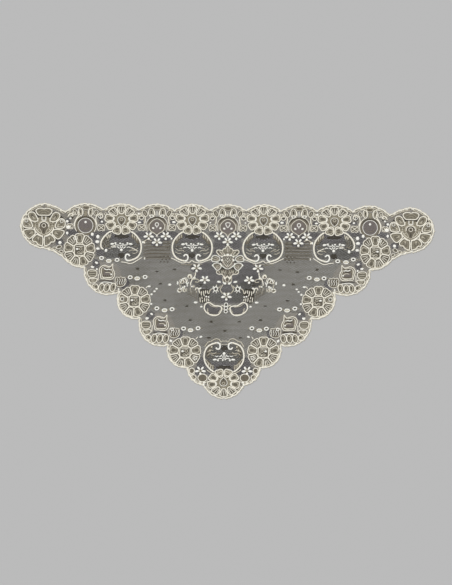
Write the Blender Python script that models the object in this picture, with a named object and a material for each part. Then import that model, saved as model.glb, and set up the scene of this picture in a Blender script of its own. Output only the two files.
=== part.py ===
"""Triangular floral lace mantilla, spread flat. Metres, +Z up, +Y towards the long scalloped edge.

Every flat piece is a 2D outline filled and given its thickness. Outlines are chains of
circular arcs between named corners of the right half, mirrored for the left half.
Tables are in millimetres and are turned into metres when the curves are made.
"""

import math

import bpy

# ---------------------------------------------------------------- driving sizes
MM = 0.001
WIDTH = 1000.0  # tip to tip
DEPTH = 472.0  # long edge to bottom point
HIGHEST = 234.5  # crests of the long edge, in the tables' frame
SHIFT_Y = DEPTH / 2 - HIGHEST  # brings the middle of the depth to Y = 0

PANEL = 1.2  # thickness of the lace ground
GAP = 0.3  # seam between neighbouring pieces
CORD_WIDTH = 2.6  # corded rim, plan width
CORD_HEIGHT = 1.8
CORD_LIFT = 0.3  # the rim is whipped over the cloth's edge and clears the table
APPLIED = 1.0  # thickness of what lies on the ground
FRAME_WIDTH = 4.0  # band of a medallion scroll
LOOP_WIDTH = 3.4  # band of a crescent

COLLECTION = "mantilla"

# ---------------------------------------------------------------- the scalloped rim
# Right half, from the crest over X = 0 round to the bottom point. A row is one
# scallop: where it ends, how far its arc stands proud of its chord, and its chords.
RIM = (
    # section,        x,      y,      rise,  steps
    ("top_1", 129.2, 219.3, 15.0, 12),
    ("top_2", 215.0, 220.2, 14.7, 12),
    ("top_3", 301.0, 219.7, 14.5, 12),
    ("top_4", 392.0, 211.5, 18.0, 12),
    ("tip_a", 443.0, 231.8, 3.8, 6),
    ("tip_b", 500.0, 179.0, 13.0, 12),
    ("tip_c", 449.4, 120.8, 14.6, 10),
    ("tip_d", 395.0, 97.8, -4.8, 6),
    ("side_flower_1", 346.0, 75.5, 6.5, 8),
    ("side_bud_1", 261.5, 17.5, 30.0, 14),
    ("side_flower_2", 208.0, -45.8, 23.5, 12),
    ("side_bud_2", 137.0, -110.0, 26.5, 14),
    ("side_flower_3", 90.0, -163.5, 19.0, 12),
    ("corner", 48.5, -206.5, 10.0, 8),
)
CREST = (0.0, 234.2)
CREST_END = (43.8, 219.7)  # where the middle scallop of the long edge ends
POINT_RISE = 31.0  # the bottom scallop, from one corner to the other

# ---------------------------------------------------------------- seams, right half
SEAM_TIP_UPPER = (  # from the rim corner top_4 down to the join of border and band
    # x,     y,      rise,  steps
    (388.0, 160.0, -4.0, 5),
)
SEAM_TIP_LOWER = ((395.0, 97.8, 0.0, 1),)  # on down to the rim corner tip_d
SEAM_TOP = (  # lower edge of the top border, from X = 0 outwards
    (22.0, 168.0, 0.0, 1),
    (46.0, 173.0, 0.0, 1),
    (130.0, 173.0, -9.0, 8),
    (151.0, 168.0, 0.0, 1),
    (173.0, 148.0, 0.0, 1),
    (195.0, 168.0, 0.0, 1),
    (216.0, 173.0, 0.0, 1),
    (300.0, 173.0, -9.0, 8),
    (330.0, 161.0, 0.0, 1),
)
SEAM_TOP_START = (0.0, 148.0)
SEAM_TOP_END = ((388.0, 160.0, 0.0, 1),)  # on over the first side flower to the tip
SEAM_BAND = (  # between the medallion band and the plain net, from X = 0 outwards
    (37.0, 92.0, 0.0, 1),
    (132.0, 92.0, -6.0, 6),
    (211.0, 92.0, 3.0, 5),
    (318.0, 104.0, -8.0, 6),
)
SEAM_BAND_START = (0.0, 92.0)
SEAM_SIDE_UPPER = ((318.0, 104.0, -8.0, 6),)  # round the first side flower
SEAM_SIDE = (  # round bud, flower, bud, flower, down to the point
    (300.0, 90.0, 0.0, 1),
    (264.0, 78.0, -8.0, 5),
    (256.0, 38.0, -5.0, 4),
    (192.0, -24.0, -24.0, 10),
    (166.0, -32.0, 0.0, 1),
    (130.0, -44.0, -8.0, 5),
    (122.0, -84.0, -5.0, 4),
    (62.0, -138.0, -23.0, 10),
)
SEAM_POINT = (  # between plain net and point, from the last side flower to X = 0
    (20.0, -178.0, -4.0, 4),
    (0.0, -176.0, 0.0, 1),
)
SEAM_FOOT = ((90.0, -163.5, -5.0, 4),)  # between the last side flower and the corner

# ---------------------------------------------------------------- pieces on the ground
MEDALLIONS = (
    # name,                    x,      y,   half_w, up,  down, outer_end, turn
    ("medallion_outer_left", -258.4, 128.0, 46.0, 31.0, 30.0, True, 1),
    ("medallion_inner_left", -84.5, 128.0, 46.0, 31.0, 30.0, False, 1),
    ("medallion_inner_right", 84.5, 128.0, 46.0, 31.0, 30.0, False, 1),
    ("medallion_outer_right", 258.4, 128.0, 46.0, 31.0, 30.0, True, 1),
    ("medallion_point", 0.0, -137.0, 46.0, 37.0, 36.0, False, -1),
)
CURL_RADIUS = 7.0  # the two inward curls that end a scroll
CURL_TURN = 215.0  # degrees
CURL_FROM = 16.0  # half the opening between the curls
SQUARENESS = 2.5  # 2 is an ellipse, more is squarer

FLOWER = (0.0, 89.0)  # centre of the middle flower
FLOWER_RADIUS = 38.0
FLOWER_PETALS = 9
FLOWER_NOTCH = 0.13  # depth of the nicks between petals, as a share of the radius

CRESCENTS = (
    # name,             x,      y,    half_w, half_h, dent, turn
    ("crescent_left", -30.5, -21.0, 19.0, 15.0, 7.0, -1),
    ("crescent_right", 30.5, -21.0, 19.0, 15.0, 7.0, 1),
)

# ---------------------------------------------------------------- finishes
FINISH = {
    # family:   (red,   green, blue,  roughness)
    "net": (0.42, 0.39, 0.33, 0.85),
    "border": (0.62, 0.58, 0.47, 0.80),
    "cord": (0.83, 0.79, 0.66, 0.70),
}


# ---------------------------------------------------------------- plane geometry
def arc(start, end, rise, steps):
    """Points after start, to end, on the arc that stands rise to the left of the way there."""
    (x0, y0), (x1, y1) = start, end
    chord = math.hypot(x1 - x0, y1 - y0)
    if abs(rise) < 1e-6 or steps < 2:
        return [end]
    along = ((x1 - x0) / chord, (y1 - y0) / chord)
    left = (-along[1], along[0])
    side = 1.0 if rise > 0 else -1.0
    height = abs(rise)
    radius = (chord * chord / 4 + height * height) / (2 * height)
    half = 2 * math.atan2(2 * height, chord)
    middle = ((x0 + x1) / 2, (y0 + y1) / 2)
    back = side * (height - radius)
    centre = (middle[0] + left[0] * back, middle[1] + left[1] * back)
    points = []
    for step in range(1, steps + 1):
        turn = -half + 2 * half * step / steps
        s, c = radius * math.sin(turn), side * radius * math.cos(turn)
        points.append(
            (
                centre[0] + along[0] * s + left[0] * c,
                centre[1] + along[1] * s + left[1] * c,
            )
        )
    points[-1] = end
    return points


def chain(start, rows):
    """The polyline through a seam's rows, its start included."""
    points = [start]
    for x, y, rise, steps in rows:
        points += arc(points[-1], (x, y), rise, steps)
    return points


def normals(points, closed):
    """The mitred left-hand normal at each point of a polyline."""
    count = len(points)
    edges = []
    for i in range(count if closed else count - 1):
        (x0, y0), (x1, y1) = points[i], points[(i + 1) % count]
        length = math.hypot(x1 - x0, y1 - y0)
        edges.append((-(y1 - y0) / length, (x1 - x0) / length))
    found = []
    for i in range(count):
        if closed:
            before, after = edges[i - 1], edges[i]
        else:
            before, after = edges[max(i - 1, 0)], edges[min(i, count - 2)]
        x, y = before[0] + after[0], before[1] + after[1]
        length = math.hypot(x, y)
        x, y = x / length, y / length
        reach = min(1.0 / max(x * after[0] + y * after[1], 0.3), 2.0)
        found.append((x * reach, y * reach))
    return found


def moved(points, distance, closed=True):
    """The polyline moved to its left by distance, point for point."""
    return [
        (x + nx * distance, y + ny * distance)
        for (x, y), (nx, ny) in zip(points, normals(points, closed))
    ]


def mirror(points):
    """The same run of points on the other half, in the opposite order."""
    return [(-x, y) for x, y in reversed(points)]


def both_halves(right):
    """A closed outline from its right half, which starts and ends on X = 0."""
    left = mirror(right)
    return right + left[1:-1]


# ---------------------------------------------------------------- making objects
for old in list(bpy.data.objects):
    bpy.data.objects.remove(old, do_unlink=True)
home = bpy.data.collections.new(COLLECTION)
bpy.context.scene.collection.children.link(home)


def finish(name, family):
    red, green, blue, roughness = FINISH[family]
    material = bpy.data.materials.new(name)
    material.use_nodes = True
    shader = material.node_tree.nodes["Principled BSDF"]
    shader.inputs["Base Color"].default_value = (red, green, blue, 1.0)
    shader.inputs["Roughness"].default_value = roughness
    shader.inputs["Metallic"].default_value = 0.0
    return material


def flat_piece(name, outlines, bottom, height, family):
    """A filled 2D curve from closed outlines in millimetres. A second outline is a hole."""
    curve = bpy.data.curves.new(name, "CURVE")
    curve.dimensions = "2D"
    curve.fill_mode = "BOTH"
    curve.resolution_u = 1
    curve.extrude = height * MM / 2
    for outline in outlines:
        spline = curve.splines.new("POLY")
        spline.points.add(len(outline) - 1)
        for point, (x, y) in zip(spline.points, outline):
            point.co = (x * MM, (y + SHIFT_Y) * MM, 0.0, 1.0)
        spline.use_cyclic_u = True
    curve.materials.append(finish(name + "_finish", family))
    piece = bpy.data.objects.new(name, curve)
    piece.location = (0.0, 0.0, (bottom + height / 2) * MM)
    home.objects.link(piece)
    return piece


# ---------------------------------------------------------------- rim and seams
rim = [CREST]
drop = CREST[1] - CREST_END[1]
radius = (CREST_END[0] ** 2 + drop**2) / (2 * drop)
half = math.asin(CREST_END[0] / radius)
for step in range(1, 7):
    turn = half * step / 6
    rim.append((radius * math.sin(turn), CREST[1] - radius * (1 - math.cos(turn))))
rim[-1] = CREST_END
corner = {"crest_end": len(rim) - 1}
for section, x, y, rise, steps in RIM:
    rim += arc(rim[-1], (x, y), rise, steps)
    corner[section] = len(rim) - 1
rim += [
    point
    for point in arc(rim[-1], (-rim[-1][0], rim[-1][1]), POINT_RISE, 16)
    if point[0] > -1e-6
]
rim[-1] = (0.0, rim[-1][1])
corner["bottom"] = len(rim) - 1

# The rim runs clockwise, so the cloth lies to its right and inwards is a negative move.
loop = both_halves(rim)
cord_inner = moved(loop, -CORD_WIDTH)[: len(rim)]
cloth_rim = moved(loop, -(CORD_WIDTH + GAP / 2))[: len(rim)]

join_tip = cloth_rim[corner["top_4"]]
join_side = cloth_rim[corner["tip_d"]]
join_foot = cloth_rim[corner["side_flower_3"]]

seam_tip_upper = chain(join_tip, SEAM_TIP_UPPER)
seam_tip_lower = [seam_tip_upper[-1], join_side]
seam_top = chain(SEAM_TOP_START, SEAM_TOP)
seam_top_end = chain(seam_top[-1], SEAM_TOP_END)
seam_band = chain(SEAM_BAND_START, SEAM_BAND)
seam_side_upper = chain(seam_top[-1], SEAM_SIDE_UPPER)
seam_side = chain(seam_side_upper[-1], SEAM_SIDE)
seam_point = chain(seam_side[-1], SEAM_POINT)
seam_foot = chain(seam_side[-1], SEAM_FOOT)
seam_foot[-1] = join_foot


def rim_run(first, last):
    return cloth_rim[first : last + 1]


def back(points):
    return list(reversed(points))


def ground(name, outline, family):
    """A panel of the ground, drawn clockwise and taken in by half a seam all round."""
    return flat_piece(name, [moved(outline, -GAP / 2)], 0.0, PANEL, family)


# ---------------------------------------------------------------- the ground panels
ground(
    "top_border",
    both_halves(
        rim_run(0, corner["top_4"])
        + seam_tip_upper[1:]
        + back(seam_top_end)[1:]
        + back(seam_top)[1:]
    ),
    "border",
)
ground(
    "band_net",
    both_halves(seam_top + seam_side_upper[1:] + back(seam_band)[1:]),
    "net",
)
ground(
    "field_net",
    both_halves(seam_band + seam_side[1:] + seam_point[1:]),
    "net",
)
ground(
    "point_border",
    both_halves(
        back(seam_point)
        + seam_foot[1:]
        + rim_run(corner["side_flower_3"] + 1, corner["bottom"])
    ),
    "border",
)
right_tip = (
    rim_run(corner["top_4"], corner["tip_d"])
    + back(seam_tip_lower)[1:]
    + back(seam_tip_upper)[1:-1]
)
right_border = (
    seam_tip_lower
    + rim_run(corner["tip_d"] + 1, corner["side_flower_3"])
    + back(seam_foot)[1:]
    + back(seam_side)[1:]
    + back(seam_side_upper)[1:]
    + seam_top_end[1:-1]
)
ground("right_tip", right_tip, "border")
ground("left_tip", mirror(right_tip), "border")
ground("right_border", right_border, "border")
ground("left_border", mirror(right_border), "border")


# ---------------------------------------------------------------- the corded rim
def strip(outer, inner, trim_start, trim_end):
    """The outline between two runs of points, its square ends drawn in by half a gap."""

    def drawn_in(a, b):
        length = math.hypot(b[0] - a[0], b[1] - a[1])
        share = (GAP / 2) / length
        return (a[0] + (b[0] - a[0]) * share, a[1] + (b[1] - a[1]) * share)

    outer, inner = list(outer), list(inner)
    if trim_start:
        outer[0] = drawn_in(outer[0], outer[1])
        inner[0] = drawn_in(inner[0], inner[1])
    if trim_end:
        outer[-1] = drawn_in(outer[-1], outer[-2])
        inner[-1] = drawn_in(inner[-1], inner[-2])
    return outer + back(inner)


tip_corner = corner["top_4"]
top_outer = mirror(rim[: tip_corner + 1])[:-1] + rim[: tip_corner + 1]
top_inner = mirror(cord_inner[: tip_corner + 1])[:-1] + cord_inner[: tip_corner + 1]
flat_piece(
    "edge_cord_top",
    [strip(top_outer, top_inner, True, True)],
    CORD_LIFT,
    CORD_HEIGHT,
    "cord",
)
right_strip = strip(rim[tip_corner:], cord_inner[tip_corner:], True, True)
flat_piece("edge_cord_right", [right_strip], CORD_LIFT, CORD_HEIGHT, "cord")
flat_piece("edge_cord_left", [mirror(right_strip)], CORD_LIFT, CORD_HEIGHT, "cord")


# ---------------------------------------------------------------- medallion scrolls
def scroll(x, y, half_w, up, down, outer_end, turn):
    """Centre line of a medallion: round the top, in at the foot, and up in two curls.

    outer_end leaves off the curl on the side away from X = 0, and turn = -1 stands the
    medallion on its head.
    """

    def on_frame(angle):
        c, s = math.cos(angle), math.sin(angle)
        power = 2.0 / SQUARENESS
        tall = up if s > 0 else down
        return (
            half_w * math.copysign(abs(c) ** power, c),
            tall * math.copysign(abs(s) ** power, s),
        )

    def half_line(curled):
        # from the crest (angle 90) down one side, here to the right
        last = -90 + math.degrees(math.asin((CURL_FROM / half_w) ** (SQUARENESS / 2)))
        end = last if curled else -48.0
        count = 13 if curled else 11
        line = [
            on_frame(math.radians(90 + (end - 90) * step / count))
            for step in range(count + 1)
        ]
        line[0] = (0.0, up)
        if curled:
            foot = line[-1]
            centre = (foot[0], foot[1] + CURL_RADIUS)
            for step in range(1, 9):
                angle = math.radians(-90 - CURL_TURN * step / 8)
                line.append(
                    (
                        centre[0] + CURL_RADIUS * math.cos(angle),
                        centre[1] + CURL_RADIUS * math.sin(angle),
                    )
                )
        return line

    side = 1.0 if x >= 0 else -1.0
    inward = half_line(True)
    outward = half_line(not outer_end)
    line = [(-side * px, py) for px, py in reversed(inward)]
    line += [(side * px, py) for px, py in outward[1:]]
    return [(x + px, y + turn * py) for px, py in line]


def band(line, width):
    """The closed outline of a strip of this width along an open centre line."""
    one = moved(line, width / 2, closed=False)
    other = moved(line, -width / 2, closed=False)
    return one + back(other)


on_ground = PANEL + GAP
for name, x, y, half_w, up, down, outer_end, turn in MEDALLIONS:
    line = scroll(x, y, half_w, up, down, outer_end, turn)
    flat_piece(name, [band(line, FRAME_WIDTH)], on_ground, APPLIED, "cord")

# ---------------------------------------------------------------- middle flower
petals = []
for step in range(FLOWER_PETALS * 8):
    angle = 2 * math.pi * step / (FLOWER_PETALS * 8)
    lobe = abs(math.cos(FLOWER_PETALS * (angle - math.pi / 2) / 2))
    reach = FLOWER_RADIUS * (1 - FLOWER_NOTCH * (1 - lobe**0.6))
    petals.append(
        (FLOWER[0] + reach * math.cos(angle), FLOWER[1] + reach * math.sin(angle))
    )
flat_piece("centre_flower", [petals], on_ground, APPLIED, "cord")

# ---------------------------------------------------------------- crescents
for name, x, y, half_w, half_h, dent, turn in CRESCENTS:
    line = []
    for step in range(36):
        angle = 2 * math.pi * step / 36
        px, py = half_w * math.cos(angle), half_h * math.sin(angle)
        if py > 0:
            # the upper side is pressed in next to the middle of the spray
            py -= dent * math.sin(angle) * (0.5 - 0.5 * px / half_w * 1.6)
        line.append((x + turn * px, y + py))
    flat_piece(
        name,
        [moved(line, LOOP_WIDTH / 2), moved(line, -LOOP_WIDTH / 2)],
        on_ground,
        APPLIED,
        "cord",
    )
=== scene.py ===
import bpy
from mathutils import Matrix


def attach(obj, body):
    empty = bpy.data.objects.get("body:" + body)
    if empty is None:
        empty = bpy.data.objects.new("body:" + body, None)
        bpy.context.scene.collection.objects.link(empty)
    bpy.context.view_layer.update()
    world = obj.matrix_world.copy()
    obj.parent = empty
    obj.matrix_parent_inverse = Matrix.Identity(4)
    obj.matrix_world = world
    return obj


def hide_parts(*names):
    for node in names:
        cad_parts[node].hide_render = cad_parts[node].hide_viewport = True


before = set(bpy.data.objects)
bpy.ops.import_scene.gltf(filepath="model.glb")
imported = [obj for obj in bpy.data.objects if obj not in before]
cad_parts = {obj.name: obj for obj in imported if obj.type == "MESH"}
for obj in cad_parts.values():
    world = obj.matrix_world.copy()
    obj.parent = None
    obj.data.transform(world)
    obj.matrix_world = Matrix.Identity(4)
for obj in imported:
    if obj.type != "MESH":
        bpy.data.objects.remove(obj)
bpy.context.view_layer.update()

# Looks of the triangular lace mantilla. Every thread is real geometry: a hexagon net, ribbed
# fillings, and half-round cords that draw the flowers, scrolls, loops and beads. All sizes
# are in millimetres in the tables' frame, where the highest crest is at Y = 234.5, and a
# motif's own drawing is in stitch units of 2.415 mm. Tables give the right half, and every
# motif away from X = 0 is repeated as its mirror image on the left half.

import math
import random

import bpy
import numpy as np

random.seed(7)
noise = np.random.default_rng(7)

MM = 0.001
UNIT = 2.415  # one stitch unit
DEPTH = 472.0
HIGHEST = 234.5
SHIFT_Y = DEPTH / 2 - HIGHEST
CORD_WIDTH = 2.6
GAP = 0.3

# ---------------------------------------------------------------- threads
# finish numbers, which are also the order of each piece's material slots
NET, OPEN, TOILE, TOILE_PALE, GIMP, GIMP_WARM, BRIGHT, GROUND, SHADE, TOILE_MID, DUSK, MAUVE = range(12)

THREADS = (
    # name,              red,   green, blue,  rough, sheen, twist_mm, relief
    ("net_thread",       0.105, 0.092, 0.055, 0.86,  0.15,  0.9,      0.35),
    ("open_thread",      0.046, 0.038, 0.036, 0.90,  0.10,  0.9,      0.35),
    ("toile_thread",     0.182, 0.163, 0.123, 0.84,  0.20,  0.7,      0.40),
    ("toile_pale_thread", 0.390, 0.352, 0.262, 0.84, 0.20,  0.7,      0.40),
    ("gimp_thread",      0.930, 0.890, 0.770, 0.72,  0.30,  1.4,      0.55),
    ("gimp_warm_thread", 0.640, 0.595, 0.480, 0.74,  0.30,  1.4,      0.55),
    ("bright_thread",    0.950, 0.940, 0.870, 0.66,  0.35,  1.2,      0.45),
    ("ground_thread",    0.213, 0.186, 0.138, 0.86,  0.15,  0.9,      0.35),
    ("shade_thread",     0.060, 0.052, 0.038, 0.90,  0.10,  0.8,      0.30),
    ("toile_mid_thread", 0.268, 0.243, 0.184, 0.84,  0.20,  0.7,      0.40),
    ("dusk_thread",      0.044, 0.040, 0.027, 0.90,  0.10,  0.9,      0.35),
    ("mauve_thread",     0.228, 0.200, 0.188, 0.86,  0.15,  0.7,      0.35),
)


def thread(name, red, green, blue, rough, sheen, twist_mm, relief):
    """Matt yarn: its plies as slanting bumps, fuzz as fine noise, and roughness that wanders."""
    made = bpy.data.materials.new(name)
    made.use_nodes = True
    tree = made.node_tree
    shader = tree.nodes["Principled BSDF"]
    shader.inputs["Base Color"].default_value = (red, green, blue, 1.0)
    shader.inputs["Roughness"].default_value = rough
    shader.inputs["Sheen Weight"].default_value = sheen
    shader.inputs["Sheen Roughness"].default_value = 0.55
    shader.inputs["Specular IOR Level"].default_value = 0.25
    place = tree.nodes.new("ShaderNodeTexCoord")
    turned = tree.nodes.new("ShaderNodeMapping")
    turned.inputs["Rotation"].default_value = (0.35, 0.2, 0.9)
    tree.links.new(place.outputs["Object"], turned.inputs["Vector"])
    plies = tree.nodes.new("ShaderNodeTexWave")
    plies.wave_type = "BANDS"
    plies.bands_direction = "DIAGONAL"
    plies.inputs["Scale"].default_value = 0.31 / (twist_mm * MM)
    plies.inputs["Distortion"].default_value = 2.5
    plies.inputs["Detail"].default_value = 2.0
    plies.inputs["Detail Scale"].default_value = 1.6
    tree.links.new(turned.outputs["Vector"], plies.inputs["Vector"])
    fuzz = tree.nodes.new("ShaderNodeTexNoise")
    fuzz.inputs["Scale"].default_value = 2600.0
    fuzz.inputs["Detail"].default_value = 3.0
    fuzz.inputs["Roughness"].default_value = 0.6
    tree.links.new(place.outputs["Object"], fuzz.inputs["Vector"])
    relief_sum = tree.nodes.new("ShaderNodeMath")
    relief_sum.operation = "MULTIPLY_ADD"
    tree.links.new(fuzz.outputs["Fac"], relief_sum.inputs[0])
    relief_sum.inputs[1].default_value = 0.45
    tree.links.new(plies.outputs["Fac"], relief_sum.inputs[2])
    bump = tree.nodes.new("ShaderNodeBump")
    bump.inputs["Strength"].default_value = relief
    bump.inputs["Distance"].default_value = 0.0003
    tree.links.new(relief_sum.outputs["Value"], bump.inputs["Height"])
    tree.links.new(bump.outputs["Normal"], shader.inputs["Normal"])
    wander = tree.nodes.new("ShaderNodeMapRange")
    wander.inputs["From Min"].default_value = 0.3
    wander.inputs["From Max"].default_value = 0.7
    wander.inputs["To Min"].default_value = rough - 0.08
    wander.inputs["To Max"].default_value = min(rough + 0.08, 1.0)
    tree.links.new(fuzz.outputs["Fac"], wander.inputs["Value"])
    tree.links.new(wander.outputs["Result"], shader.inputs["Roughness"])
    return made


MATERIALS = [thread(*row) for row in THREADS]

# ---------------------------------------------------------------- cords
STYLES = {
    # name:      (width, height, sides, step, lift)   all mm
    "scroll":    (4.1, 1.9, 5, 2.5, 0.55),
    "crescent":  (3.3, 1.6, 5, 2.4, 0.55),
    "outline":   (2.85, 1.45, 5, 2.4, 0.85),
    "fine":      (2.3, 1.2, 4, 2.3, 0.85),
    "hair":      (1.6, 0.9, 4, 2.6, 0.80),
    "rim":       (3.4, 1.7, 5, 2.3, 0.35),
    "picot":     (1.2, 0.9, 4, 1.5, 0.40),
}


def curve(points, closed, step):
    """A smooth line through the points, even steps apart: a Catmull-Rom spline walked by length."""
    p = np.asarray(points, float)
    n = len(p)
    if n < 3 and not closed:
        a, b = p[0], p[-1]
        count = max(int(round(np.linalg.norm(b - a) / step)), 1)
        return a + (b - a) * (np.arange(count + 1) / count)[:, None]
    if closed:
        q = np.concatenate([p[-1:], p, p[:2]])
        spans = n
    else:
        q = np.concatenate([2 * p[:1] - p[1:2], p, 2 * p[-1:] - p[-2:-1]])
        spans = n - 1
    t = (np.arange(10) / 10)[None, :, None]
    a, b, c, d = (q[i : i + spans, None, :] for i in range(4))
    dense = 0.5 * (
        2 * b
        + (c - a) * t
        + (2 * a - 5 * b + 4 * c - d) * t**2
        + (3 * b - 3 * c + d - a) * t**3
    )
    dense = dense.reshape(-1, 2)
    dense = np.concatenate([dense, q[spans + 1 : spans + 2]])
    length = np.concatenate(
        [[0.0], np.cumsum(np.linalg.norm(np.diff(dense, axis=0), axis=1))]
    )
    count = max(int(round(length[-1] / step)), 8 if closed else 2)
    at = np.linspace(0, length[-1], count + 1)
    even = np.stack(
        [np.interp(at, length, dense[:, 0]), np.interp(at, length, dense[:, 1])], axis=1
    )
    return even[:-1] if closed else even


def polyline(points, closed, step):
    """The same line with its corners kept, cut into even steps."""
    p = np.asarray(points, float)
    if closed:
        p = np.concatenate([p, p[:1]])
    length = np.concatenate([[0.0], np.cumsum(np.linalg.norm(np.diff(p, axis=0), axis=1))])
    count = max(int(round(length[-1] / step)), 3 if closed else 1)
    at = np.linspace(0, length[-1], count + 1)
    even = np.stack([np.interp(at, length, p[:, 0]), np.interp(at, length, p[:, 1])], axis=1)
    return even[:-1] if closed else even


class Lace:
    """Closed bodies gathered into one mesh. partner takes the mirror images.

    cloth is the panel a cord lies on, which holds the dark dense weave under it.
    """

    def __init__(self, name, cloth=None):
        self.name = name
        self.cloth = cloth or self
        self.partner = self
        self.points, self.quads, self.tris = [], [], []
        self.quad_finish, self.tri_finish = [], []
        self.count = 0

    def take(self, points, quads, tris, finish):
        points = np.asarray(points, float)
        for faces, kept, finishes in (
            (quads, self.quads, self.quad_finish),
            (tris, self.tris, self.tri_finish),
        ):
            if len(faces):
                kept.append(np.asarray(faces, np.int64) + self.count)
                finishes.append(np.broadcast_to(np.asarray(finish, np.int64), (len(faces),)))
        self.points.append(points)
        self.count += len(points)

    def add(self, points, quads, tris, finish, alone=False):
        points = np.asarray(points, float)
        quads = np.asarray(quads, np.int64).reshape(-1, 4)
        tris = np.asarray(tris, np.int64).reshape(-1, 3)
        self.take(points, quads, tris, finish)
        if not alone:
            self.partner.take(points * (-1, 1, 1), quads[:, ::-1], tris[:, ::-1], finish)

    def triangles(self):
        return 2 * sum(map(len, self.quads)) + sum(map(len, self.tris))


def tube(lace, line, style, finish, closed, alone, taper=True, lift=0.0):
    """A cord of flat-bottomed, half-round section along the line, its plies as small swellings."""
    width, height, sides, step, base = STYLES[style]
    n = len(line)
    ahead = np.roll(line, -1, axis=0) - line
    behind = line - np.roll(line, 1, axis=0)
    along = ahead / np.maximum(np.linalg.norm(ahead, axis=1), 1e-9)[:, None]
    along += behind / np.maximum(np.linalg.norm(behind, axis=1), 1e-9)[:, None]
    if not closed:
        along[0], along[-1] = ahead[0], behind[-1]
    along /= np.maximum(np.linalg.norm(along, axis=1), 1e-9)[:, None]
    left = np.stack([-along[:, 1], along[:, 0]], axis=1)
    if sides == 5:
        profile = ((0.5, 0.0), (0.40, 0.62), (0.0, 1.0), (-0.40, 0.62), (-0.5, 0.0))
    else:
        profile = ((0.5, 0.0), (0.27, 1.0), (-0.27, 1.0), (-0.5, 0.0))
    swell = 1.0 - 0.13 * (np.arange(n) % 2) + 0.05 * np.sin(np.arange(n) * 1.7)
    if taper and not closed:
        swell[0] *= 0.6
        swell[-1] *= 0.6
    rings = np.empty((n, sides, 3))
    for j, (aside, up) in enumerate(profile):
        rings[:, j, :2] = line + left * (aside * width * swell)[:, None]
        rings[:, j, 2] = base + lift + up * height * swell
    spans = n if closed else n - 1
    i = np.arange(spans)[:, None]
    j = np.arange(sides)[None, :]
    nxt, up = (i + 1) % n, (j + 1) % sides
    quads = np.stack(
        [i * sides + j, i * sides + up, nxt * sides + up, nxt * sides + j], axis=2
    ).reshape(-1, 4)
    tris = []
    if not closed:
        last = (n - 1) * sides
        for k in range(1, sides - 1):
            tris.append((0, k + 1, k))
            tris.append((last, last + k, last + k + 1))
    lace.add(rings.reshape(-1, 3), quads, tris, finish, alone)


def dome(lace, x, y, rx, ry, turn, height, finish, alone, base=0.5, sides=10):
    """A low oval knot of thread."""
    a = 2 * math.pi * np.arange(sides) / sides
    c, s = math.cos(turn), math.sin(turn)
    points = []
    for share, up in ((1.0, 0.0), (0.78, 0.68)):
        px, py = rx * share * np.cos(a), ry * share * np.sin(a)
        points.append(
            np.stack([x + px * c - py * s, y + px * s + py * c, np.full(sides, base + up * height)], axis=1)
        )
    points = np.concatenate(points + [[[x, y, base + height]]])
    k = np.arange(sides)
    n = (k + 1) % sides
    quads = np.stack([k, n, sides + n, sides + k], axis=1)
    top = np.stack([sides + k, sides + n, np.full(sides, 2 * sides)], axis=1)
    under = [(0, j + 1, j) for j in range(1, sides - 1)]
    lace.add(points, quads, np.concatenate([top, under]), finish, alone)


def inside(loops, x, y):
    """Even-odd test of many places against closed loops."""
    found = np.zeros(x.shape, bool)
    for loop in loops:
        a = np.asarray(loop, float)
        b = np.roll(a, -1, axis=0)
        for (x0, y0), (x1, y1) in zip(a, b):
            if y0 == y1:
                continue
            meets = (y0 <= y) != (y1 <= y)
            found ^= meets & (x < x0 + (y - y0) * (x1 - x0) / (y1 - y0))
    return found


def ribs(lace, loops, finish, alone, pitch=1.55, width=1.1, turn=0.0, base=0.25, height=0.55, offset=0.0):
    """Parallel threads that fill the loops, a hole where loops lie in each other."""
    c, s = math.cos(turn), math.sin(turn)
    turned = [np.stack([l[:, 0] * c + l[:, 1] * s, -l[:, 0] * s + l[:, 1] * c], axis=1) for l in loops]
    every = np.concatenate(turned)
    first = math.floor(every[:, 1].min() / pitch) + offset
    rows = np.arange(first, every[:, 1].max() / pitch + 1) * pitch
    bars = []
    for level in rows:
        cuts = []
        for l in turned:
            a, b = l, np.roll(l, -1, axis=0)
            meets = (a[:, 1] <= level) != (b[:, 1] <= level)
            a, b = a[meets], b[meets]
            cuts.extend(a[:, 0] + (level - a[:, 1]) * (b[:, 0] - a[:, 0]) / (b[:, 1] - a[:, 1]))
        cuts.sort()
        for x0, x1 in zip(cuts[::2], cuts[1::2]):
            if x1 - x0 > 0.8:
                bars.append((x0, x1, level))
    if not bars:
        return
    bars = np.array(bars)
    n = len(bars)
    x0, x1, level = bars.T
    corners = []
    for half, z in ((width / 2, base), (width / 4, base + height)):
        for x, side in ((x0, -1), (x1, -1), (x1, 1), (x0, 1)):
            y = level + side * half
            corners.append(np.stack([x * c - y * s, x * s + y * c, np.full(n, z)], axis=1))
    points = np.stack(corners, axis=1).reshape(-1, 3)
    block = np.array(
        [(3, 2, 1, 0), (4, 5, 6, 7), (0, 1, 5, 4), (1, 2, 6, 5), (2, 3, 7, 6), (3, 0, 4, 7)]
    )
    quads = (np.arange(n)[:, None, None] * 8 + block[None]).reshape(-1, 4)
    lace.add(points, quads, [], finish, alone)


# ---------------------------------------------------------------- where the net changes
BARE = []  # woven shapes, which carry no net: closed loops, right half or across
SHADES, FILLS, SPOTS = [], [], []  # weaves to make once every motif is drawn
OPEN_SPOTS = []  # ellipses of dark open net: x, y, half width, half height, turn
OPEN_SHAPES = []  # closed loops of dark open net
DUSK_SHAPES = []  # the same, of a greener thread
GROUND_SHAPES = []  # closed loops of the thicker ground of the border


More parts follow.
